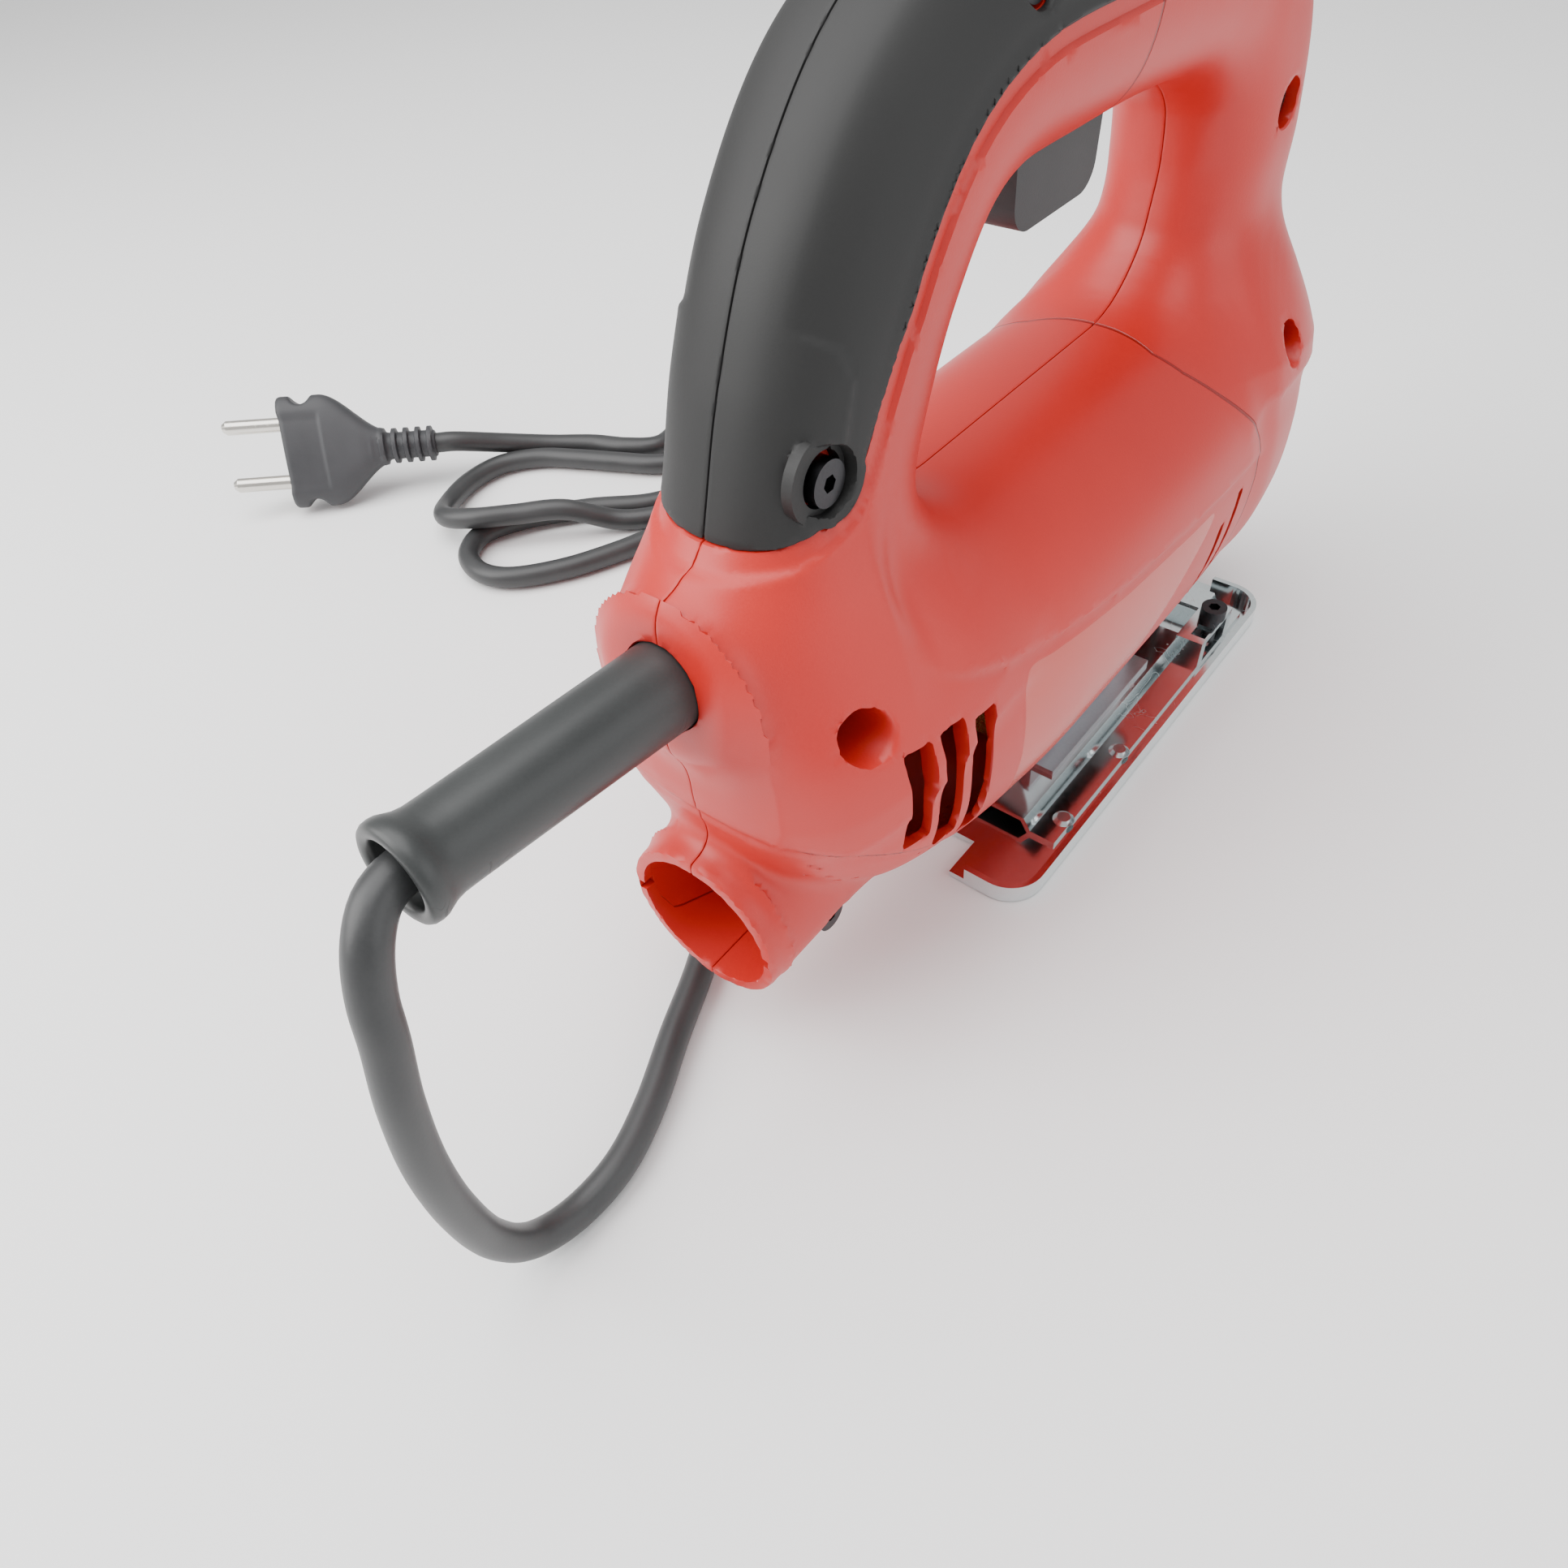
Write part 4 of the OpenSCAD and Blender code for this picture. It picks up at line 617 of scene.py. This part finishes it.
# Wall between the outside and the same shape drawn in, with the screw tubes, less every opening.
def shellField(p, side):
    s, c, port, pad = shell, shell["collar"], shell["port"], shell["pad"]
    place = handlePlace(p[0], p[2])
    outer = shellOutside(p, place)
    region = padRegion(p, place)
    bare = handleField(p, place)
    gutter = (1 - ramp(region, pad["gutter"] - 0.9, pad["gutter"])) * pad["gutterDeep"]
    outer = outer + gutter * (bare < 6)
    recess = np.maximum(region, -(bare + pad["thick"]))
    inner = blendMin(bodyField(p), bare, 5) + s["wall"] + 1.5 * ramp(-region, -3, -1)
    tube = np.hypot(p[1], p[2] - port["z"])
    cavity = np.maximum(inner, -np.maximum(tube - port["radius"], p[0] - port["x"] - port["length"]))
    solid = np.maximum(outer, -cavity)
    for x, z, r, depth, lining in s["screws"]:
        far = np.hypot(p[0] - x, p[2] - z) - lining
        solid = np.minimum(solid, np.maximum(np.maximum(outer + 0.35, far - r - 1.6), p[1] - depth - 1))
    solid = np.maximum(solid, -recess)
    for x, z, r, depth, lining in s["screws"]:
        far = np.hypot(p[0] - x, p[2] - z) - lining
        solid = blendMax(solid, -np.maximum(far - r, p[1] - depth), 0.7)
    ahead, radius = alongCollar(p)
    solid = blendMax(solid, -np.maximum(radius - c["hole"], ahead - 30), 0.8)
    bore = np.maximum(tube - port["bore"], p[0] - port["x"] - port["deep"])
    notch = boxField(p, (port["x"] - 2, port["x"] + 2.4), (-port["bore"] - 1.3, port["bore"] + 1.3),
                     (port["z"] - 1.1, port["z"] + 1.1))
    duct = np.maximum(np.hypot(p[1], p[2] - port["z"] - 6) - port["duct"],
                      np.maximum(port["x"] - p[0], p[0] + 99))
    solid = blendMax(solid, -np.minimum(np.minimum(bore, notch), duct), 0.5)
    for x, low, high in s["rearVents"]:
        lean = 0.12 * (np.abs(p[1]) - 33)
        slot = boxField((p[0] + lean, np.abs(p[1]), p[2] + 0.1 * (p[0] - x)), (x, x + s["ventWidth"]),
                        (20, 50), (low, high), 0.9)
        solid = blendMax(solid, -slot, 0.5)
    for x, low, high in s["frontVents"]:
        slot = boxField((p[0] - 0.35 * (p[2] - 60), np.abs(p[1]), p[2]), (x, x + s["thinVent"]), (20, 50),
                        (low, high), 0.8)
        solid = blendMax(solid, -slot, 0.4)
    gaps = [boxField(p, *box) for box in s["openings"].values()]
    x, z, r = s["lockHole"]
    gaps.append(np.maximum(np.hypot(p[0] - x, p[2] - z) - r, -p[1]))
    solid = blendMax(solid, -np.minimum.reduce(gaps), 0.5)
    return blendMax(solid, -p[1] * side + 0.03, s["seam"])


# Mains cord, sleeve and plug.
cord = {
    "diameter": 6.8, "sides": 20, "rings": 820,
    "lay": 3.5, "over": 10.5,
    "lip": (-176.203, 0, 100.980), "mouth": (-172.218, 0, 100.631),
    "plugEnd": (-19.3, 228.1, 14.2), "plugWay": (-0.75, 0.66, 0.09),
}


# The cord's places: out of the sleeve, down, under the port, along the left side, two bights and two loops.
def cordRoute(c):
    x, z, lay, over = c["lip"][0], c["lip"][2], c["lay"], c["over"]
    way = np.array(c["plugWay"]) / np.linalg.norm(c["plugWay"])
    end = np.array(c["plugEnd"], float)
    drop = [c["mouth"], c["lip"], (x - 4, -1, z - 0.8), (x - 8, -3, z - 4), (x - 11, -4.5, z - 10),
            (x - 13, -6, z - 17), (x - 16, -7, 72), (x - 18, -7, 56), (x - 18, -6, 38), (x - 16, -5, 20),
            (x - 11, -5, 8)]
    ground = [(-178, -6), (-166, -6), (-153, -2), (-138, 5), (-122, 12), (-104, 22), (-88, 36), (-70, 50),
              (-46, 60), (-20, 68), (4, 78), (20, 92), (23, 109), (13, 124), (-4, 133), (-20, 139),
              (-36, 147), (-49, 158), (-53, 169), (-49, 180), (-38, 185), (-24, 179), (-8, 165), (6, 149),
              (22, 142), (40, 140), (56, 135), (64, 124), (56, 114), (42, 119), (27, 130), (10, 137),
              (-1, 144), (-9, 152, lay + 1), (-20, 163, over), (-31, 175, over), (-40, 185, over),
              (-43, 197, over - 2), (-34, 208, lay + 1), (-20, 214), (-6, 213), (5, 204), (12, 191),
              (18, 178), (25, 164), (36, 154), (52, 150), (66, 157), (68, 170), (58, 178), (45, 174),
              (34, 173), (27, 182), (22, 194), (12.5, 206, lay + 1), (-0.5, 216, lay + 5)]
    ground = [p if len(p) == 3 else (*p, lay) for p in ground]
    return [*drop, *ground, tuple(end - 7 * way), tuple(end)]


# Side directions along a line without twist: each is the last one less its share along the new heading.
def carriedFrame(line):
    way = np.gradient(line, axis=0)
    way /= np.linalg.norm(way, axis=1, keepdims=True)
    side = np.empty_like(way)
    side[0] = (0, 1, 0)
    for k in range(len(way)):
        last = side[max(k - 1, 0)]
        last = last - way[k] * last.dot(way[k])
        side[k] = last / np.linalg.norm(last)
    return side, np.cross(way, side)


# Quads between neighbouring rings of a grid, the sides closed on themselves.
def gridFaces(rings, sides):
    r, s = np.meshgrid(np.arange(rings - 1), np.arange(sides), indexing="ij")
    r, s = r.ravel(), s.ravel()
    t = (s + 1) % sides
    near, far = r * sides, (r + 1) * sides
    return np.stack([near + s, near + t, far + t, far + s], 1).tolist()


# Point at angle a of ring k: line(k) + radius(k) * (cos a * side + sin a * up), with both ends closed.
def tubeAlong(line, radius, sides):
    side, up = carriedFrame(line)
    a = np.linspace(0, 2 * np.pi, sides, endpoint=False)
    radius = np.broadcast_to(radius, len(line))[:, None, None]
    turned = np.cos(a)[None, :, None] * side[:, None] + np.sin(a)[None, :, None] * up[:, None]
    points = line[:, None] + radius * turned
    faces = gridFaces(len(line), sides)
    last = (len(line) - 1) * sides
    return points.reshape(-1, 3), faces + [list(range(sides))[::-1], list(range(last, last + sides))]


route = cordRoute(cord)
cordLine, cordArc = throughPoints(route, cord["rings"])
cordPoints, cordFaces = tubeAlong(cordLine, cord["diameter"] / 2, cord["sides"])
powerCord = newPiece("powerCordJacket", cordPoints, cordFaces, made["cordPvc"], "body")
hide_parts("power_cord")
print("cord laid,", round(cordArc[-1]), "mm")

sleeve = {
    "profile": [    # distance out along the axis from the collar, and radius
        (-9, 0), (-9, 7.55), (-4, 7.6), (0, 7.6), (6, 7.52), (14, 7.42), (24, 7.28), (34, 7.14), (42, 7.04),
        (45, 7.05), (46.6, 7.3), (47.8, 7.75), (48.7, 8.1), (49.6, 8.2), (50.5, 8.1), (51.1, 7.75),
        (51.4, 7.2), (51.4, 6.5), (51.2, 6.0), (50.8, 5.75), (50.2, 5.6), (47.5, 5.6), (47.4, 5.5),
        (47.4, 0)],
    "sides": 96,
}


# Profile turned about the sleeve's own tilted axis.
def makeSleeve(f):
    c = shell["collar"]
    turn = math.radians(c["tilt"])
    out = np.array((-math.cos(turn), 0, math.sin(turn)))
    side, up = np.array((0, 1.0, 0)), np.array((math.sin(turn), 0, math.cos(turn)))
    profile = np.array(f["profile"], float)
    a = np.linspace(0, 2 * np.pi, f["sides"], endpoint=False)
    ring = np.cos(a)[:, None] * side + np.sin(a)[:, None] * up
    start = np.array((c["x"], 0, c["z"]), float)
    points = start + profile[:, None, :1] * out + profile[:, None, 1:] * ring[None]
    points = points.reshape(-1, 3)
    faces = gridFaces(len(profile), f["sides"])
    piece = newPiece("cordSleeveBoot", points, faces, made["sleeveRubber"], "body", smooth=None)
    return piece


cordSleeve = makeSleeve(sleeve)
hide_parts("cord_sleeve")

plug = {"relief": 18, "length": 33, "width": 37, "thick": 13, "roll": -62, "notch": 3.4,
        "neck": 5.6, "rib": 1.4, "ribPitch": 4, "cordHole": 3.42}


# Contour plug in its own axes: a section that widens from a round neck to a flat body, ribs on the relief.
def plugField(p):
    f = plug
    l, w, t = p
    share = ramp(l, f["relief"] - 2, f["relief"] + 19)
    wide = f["neck"] + (f["width"] / 2 - f["neck"]) * share
    thick = f["neck"] + (f["thick"] / 2 - f["neck"]) * ramp(l, f["relief"] - 2, f["relief"] + 8)
    n = 2.6
    a, b = np.abs(w / wide), np.abs(t / thick)
    g = np.maximum((a ** n + b ** n) ** (1 / n), 0.05)
    slope = g ** (1 - n) * np.sqrt((a ** (n - 1) / wide) ** 2 + (b ** (n - 1) / thick) ** 2)
    body = (g - 1) / np.maximum(slope, 0.02)
    end = f["relief"] + f["length"]
    body = blendMax(body, np.maximum(f["relief"] - 1 - l, l - end), 2.0)
    for side in (-1, 1):
        away = np.hypot(l - end + 8, w - side * (f["width"] / 2 + 0.6))
        body = blendMax(body, f["notch"] - away, 1.2)
    step = ramp(l, end - 14.5, end - 13)
    body = body + 0.5 * step * (1 - ramp(np.abs(w), 10, 14))
    ring = 4.5 + f["rib"] * ramp(np.cos((l - 2) * 2 * np.pi / f["ribPitch"]), -0.2, 0.6)
    neck = blendMax(np.hypot(w, t) - ring, np.maximum(0.2 - l, l - f["relief"] - 3), 0.8)
    hole = np.maximum(np.hypot(w, t) - f["cordHole"], l - 3)
    return np.maximum(blendMin(body, neck, 1.5), -hole)


# Turns plug axes into the model's: roll about the plug, then tilt and turn towards its heading.
def plugPlace(points, f=plug):
    way = np.array(cord["plugWay"]) / np.linalg.norm(cord["plugWay"])
    level = np.array((-way[1], way[0], 0)) / math.hypot(way[0], way[1])
    upward = np.cross(way, level)
    roll = math.radians(f["roll"])
    side = math.cos(roll) * level + math.sin(roll) * upward
    top = -math.sin(roll) * level + math.cos(roll) * upward
    return np.array(cord["plugEnd"]) + points @ np.stack([way, side, top])


plugAxes = [np.arange(-1, 58.2, 0.55), np.arange(-20, 20.3, 0.55), np.arange(-8, 8.3, 0.55)]
plugPoints, plugQuads = gridSurface(plugField, plugAxes)
plugBody = newPiece("plugMoulding", plugPlace(plugPoints), plugQuads.tolist(), made["plugPvc"], "body",
                    smooth=45)
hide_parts("plug_body")

print("sleeve and plug made")


# Shell halves and grips.

# A side-view distance made a distance along the surface: divided by the share of its slope in the surface.
def acrossSurface(distance, points, normals):
    h = 0.2
    slope = np.stack([distance((points[:, 0] + h * (c == 0), points[:, 1], points[:, 2] + h * (c == 2)))
                      - distance((points[:, 0] - h * (c == 0), points[:, 1], points[:, 2] - h * (c == 2)))
                      for c in range(3)], 1) / (2 * h)
    lying = slope - normals * np.einsum("ij,ij->i", slope, normals)[:, None]
    return distance(tuple(points.T)) / np.clip(np.linalg.norm(lying, axis=1), 0.35, 1)


# Unit normals of a field at points: its slope over the slope's length.
def surfaceNormals(field, points, h=0.4):
    slope = fieldSlope(field, points, h)
    return slope / np.maximum(np.linalg.norm(slope, axis=1, keepdims=True), 1e-9)


# One number per point, for the shader to read.
def setAttribute(piece, name, values):
    store = piece.data.attributes.new(name, "FLOAT", "POINT")
    store.data.foreach_set("value", np.asarray(values, np.float32))


label = {"low": 38.8, "underCrease": 3, "left": -72.6, "right": 2.3, "rightHeight": 65, "rightLean": 1.5,
         "endRadius": 4, "topRadius": 5}


# Inside distance of the smooth label panel: a rounded four-sided shape in the side view under the crease.
def labelDistance(p, f=label):
    low, high = f["low"], -polyDistance(p, crease) - f["underCrease"]
    left, right = p[0] - f["left"], f["right"] + f["rightLean"] * (p[2] - f["rightHeight"]) - p[0]
    ends = blendMax(-left, -right, f["endRadius"])
    return -blendMax(ends, blendMax(low - p[2], -high, f["endRadius"]), f["topRadius"])


hidden = 40    # mm added to a line's distance where it isn't drawn


# Places across the model on one side: the fine ones at the seam, then even steps as far as deep.
def seamPlaces(side, fine, step, deep):
    depth = np.array(sorted([*fine, *np.arange(fine[-1] - step, -deep, -step)]))
    return depth if side < 0 else -depth[::-1]


# One half of the shell: the wall's surface on a grid, finer across the seam.
def makeHalf(side):
    step = 1.12
    fine = [0.5, 0.2, -0.08, -0.3, -0.6, -1.0, -1.6]
    depth = seamPlaces(side, fine, step, 40.5)
    # spans are x from, x to and a share of the grid step, finer at the vents
    spans = ((-131, -109.5, 1), (-109.5, -79, 0.6), (-79, 20, 1), (20, 42, 0.6), (42, 89, 1))
    across = [np.arange(a, b, step * share) for a, b, share in spans]
    axes = [np.unique(np.round(np.concatenate(across), 3)), depth, np.arange(17, 186, step)]
    points, quads = gridSurface(lambda p: shellField(p, side), axes)
    print("shell half,", len(quads), "quads")
    name = "shellRight" if side < 0 else "shellLeft"
    piece = newPiece(name, points, quads.tolist(), made["redShell"], "body", smooth=38)
    outside = lambda p: shellOutside(p, handlePlace(p[0], p[2]))
    normals = surfaceNormals(outside, points)
    x, y, z = points.T
    away = hidden * (np.abs(outside((x, y, z))) > 1.5)
    rear = acrossSurface(lambda p: polyDistance(p, rearGroove), points, normals)
    front = acrossSurface(lambda p: polyDistance(p, frontGroove), points, normals)
    setAttribute(piece, "rearLine", rear + away + hidden * (x > 60))
    setAttribute(piece, "frontLine", front + away + hidden * (z > 108) + hidden * (x > 70))
    setAttribute(piece, "labelEdge", labelDistance((x, y, z)) - away - hidden * (np.abs(y) < 20))
    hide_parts("housing_right" if side < 0 else "housing_left")
    return piece


# edge of the scooped part of the grip
gripFacet = [(-118, 152), (-106, 148.5), (-96.5, 141.5), (-95.5, 137), (-97.5, 131), (-99, 126)]


# The grip: the handle's outer layer inside its outline, set back a little from the shell all round.
def padField(p, side):
    s, pad = shell, shell["pad"]
    place = handlePlace(p[0], p[2])
    bare = handleField(p, place)
    region = padRegion(p, place)
    scoop = ramp(polyDistance(p, gripFacet), -0.7, 0.7) * ramp(place[1], 2, 5)
    outer = bare + pad["scoop"] * scoop * ramp(np.abs(p[1]), 8, 13)
    solid = blendMax(outer, region + pad["gap"], 0.9)
    solid = np.maximum(solid, -(bare + pad["thick"] - 0.05))
    for x, z, r, depth, lining in s["screws"]:
        far = np.hypot(p[0] - x, p[2] - z)
        if lining and side < 0:
            tube = np.maximum(far - r - lining + 0.15, p[1] - depth)
            solid = np.minimum(solid, np.maximum(tube, outer))
        solid = blendMax(solid, r + 0.05 - far - 60 * (p[1] > depth), 0.7)
        if lining and side < 0:
            ring = np.maximum(far - r - lining + 0.15, 4.3 - far)
            solid = np.minimum(solid, np.maximum(ring, np.abs(p[1] - depth + 1) - 0.95))
    solid = np.maximum(solid, -boxField(p, *s["openings"]["dial"][:3]))
    if side > 0:
        x, z, r = s["lockHole"]
        solid = np.maximum(solid, r + 0.4 - np.hypot(p[0] - x, p[2] - z))
    return blendMax(solid, -p[1] * side + 0.06, 0.5)


# One grip pad, on an even grid that is finer across the seam.
def makePad(side):
    step = 0.8
    fine = [0.5, 0.2, -0.12, -0.35, -0.7, -1.2]
    depth = seamPlaces(side, fine, step, 20)
    axes = [np.arange(-118, 40, step), depth, np.arange(106, 187, step)]
    points, quads = gridSurface(lambda p: padField(p, side), axes)
    piece = newPiece("gripRight" if side < 0 else "gripLeft", points, quads.tolist(), made["gripRubber"],
                     "body", smooth=38)
    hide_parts("grip_pad_right" if side < 0 else "grip_pad_left")
    return piece


for side in (-1, 1):
    makeHalf(side)
    makePad(side)
print("shell and grips made")


# Finishes on the carried-over nodes.
nodeFinish = {
    "housing_screws": "darkScrew", "gear_case": "castAlloy", "field_stack": "lamination",
    "field_windings": "copperWire", "armature_core": "lamination", "armature_windings": "copperWire",
    "motor_shaft": "brightSteel", "commutator": "copperBar", "cooling_fan": "blackPlastic",
    "front_bearing": "brightSteel", "rear_bearing": "brightSteel", "brush_holders": "brass",
    "carbon_brushes": "carbon", "drive_gear": "gearSteel", "gear_axle": "brightSteel",
    "plunger": "brightSteel", "plunger_bushes": "bronze", "blade_clamp": "darkSteel",
    "clamp_screws": "darkScrew", "roller_bracket": "zincSteel", "guide_roller": "gearSteel",
    "roller_pin": "brightSteel", "blade_guard": "brightSteel", "trigger": "blackPlastic",
    "switch_body": "blackPlastic", "lock_button": "blackPlastic", "speed_dial": "blackPlastic",
    "cable_clamp": "blackPlastic", "cable_clamp_screws": "zincSteel", "switch_leads": "leadPvc",
    "plug_pins": "pinNickel", "sole_plate": "soleChrome", "channel_plate": "soleChrome",
    "sole_rivets": "rivetSteel", "fence_screw": "darkScrew", "tilt_cradle": "zincSteel",
    "tilt_shoe": "darkSteel", "tilt_screws": "darkScrew", }
for node, finish in nodeFinish.items():
    slots = nodes[node].data.materials
    slots.clear()
    slots.append(made[finish])
print("node finishes set")


# Studio.
studio = {
    "floor": 6.0, "floorColour": (0.93, 0.93, 0.93, 1),
    "lamps": [   # name, place and target in mm, width and height in mm, power, colour
        ("overhead", (-150, 150, 900), (0, 0, 60), 900, 900, 11, (1, 1, 1)),
        ("rearLeft", (-700, 500, 600), (-60, 0, 90), 700, 700, 10, (1, 0.99, 0.98)),
        ("rightFill", (150, -900, 420), (0, 0, 60), 800, 700, 3, (0.98, 0.99, 1))],
    "sky": 0.74,
}


# A wide pale floor, three soft lamps and an even sky.
def makeStudio(f):
    floor = bpy.data.meshes.new("studioFloor")
    half = f["floor"] / 2
    floor.from_pydata([(-half, -half, -0.0004), (half, -half, -0.0004), (half, half, -0.0004),
                       (-half, half, -0.0004)], [], [(0, 1, 2, 3)])
    paint = bpy.data.materials.new("floorPaint")
    paint.use_nodes = True
    shader = paint.node_tree.nodes["Principled BSDF"]
    shader.inputs["Base Color"].default_value = f["floorColour"]
    shader.inputs["Roughness"].default_value = 0.75
    floor.materials.append(paint)
    ground = bpy.data.objects.new("studioFloor", floor)
    bpy.context.scene.collection.objects.link(ground)
    for name, place, target, wide, high, power, colour in f["lamps"]:
        lamp = bpy.data.lights.new(name, "AREA")
        lamp.shape, lamp.size, lamp.size_y = "RECTANGLE", wide * mm, high * mm
        lamp.energy, lamp.color = power, colour
        body = bpy.data.objects.new(name, lamp)
        bpy.context.scene.collection.objects.link(body)
        back = np.array(place, float) - np.array(target, float)
        back /= np.linalg.norm(back)
        right = np.cross((0, 0, 1), back)
        right /= np.linalg.norm(right)
        grid = np.eye(4)
        grid[:3, :3] = np.stack([right, np.cross(back, right), back], 1)
        grid[:3, 3] = np.array(place) * mm
        body.matrix_world = Matrix(grid.tolist())
    world = bpy.data.worlds.new("studioSky")
    world.use_nodes = True
    world.node_tree.nodes["Background"].inputs["Color"].default_value = (1, 1, 1, 1)
    world.node_tree.nodes["Background"].inputs["Strength"].default_value = f["sky"]
    bpy.context.scene.world = world


makeStudio(studio)
print("studio set")
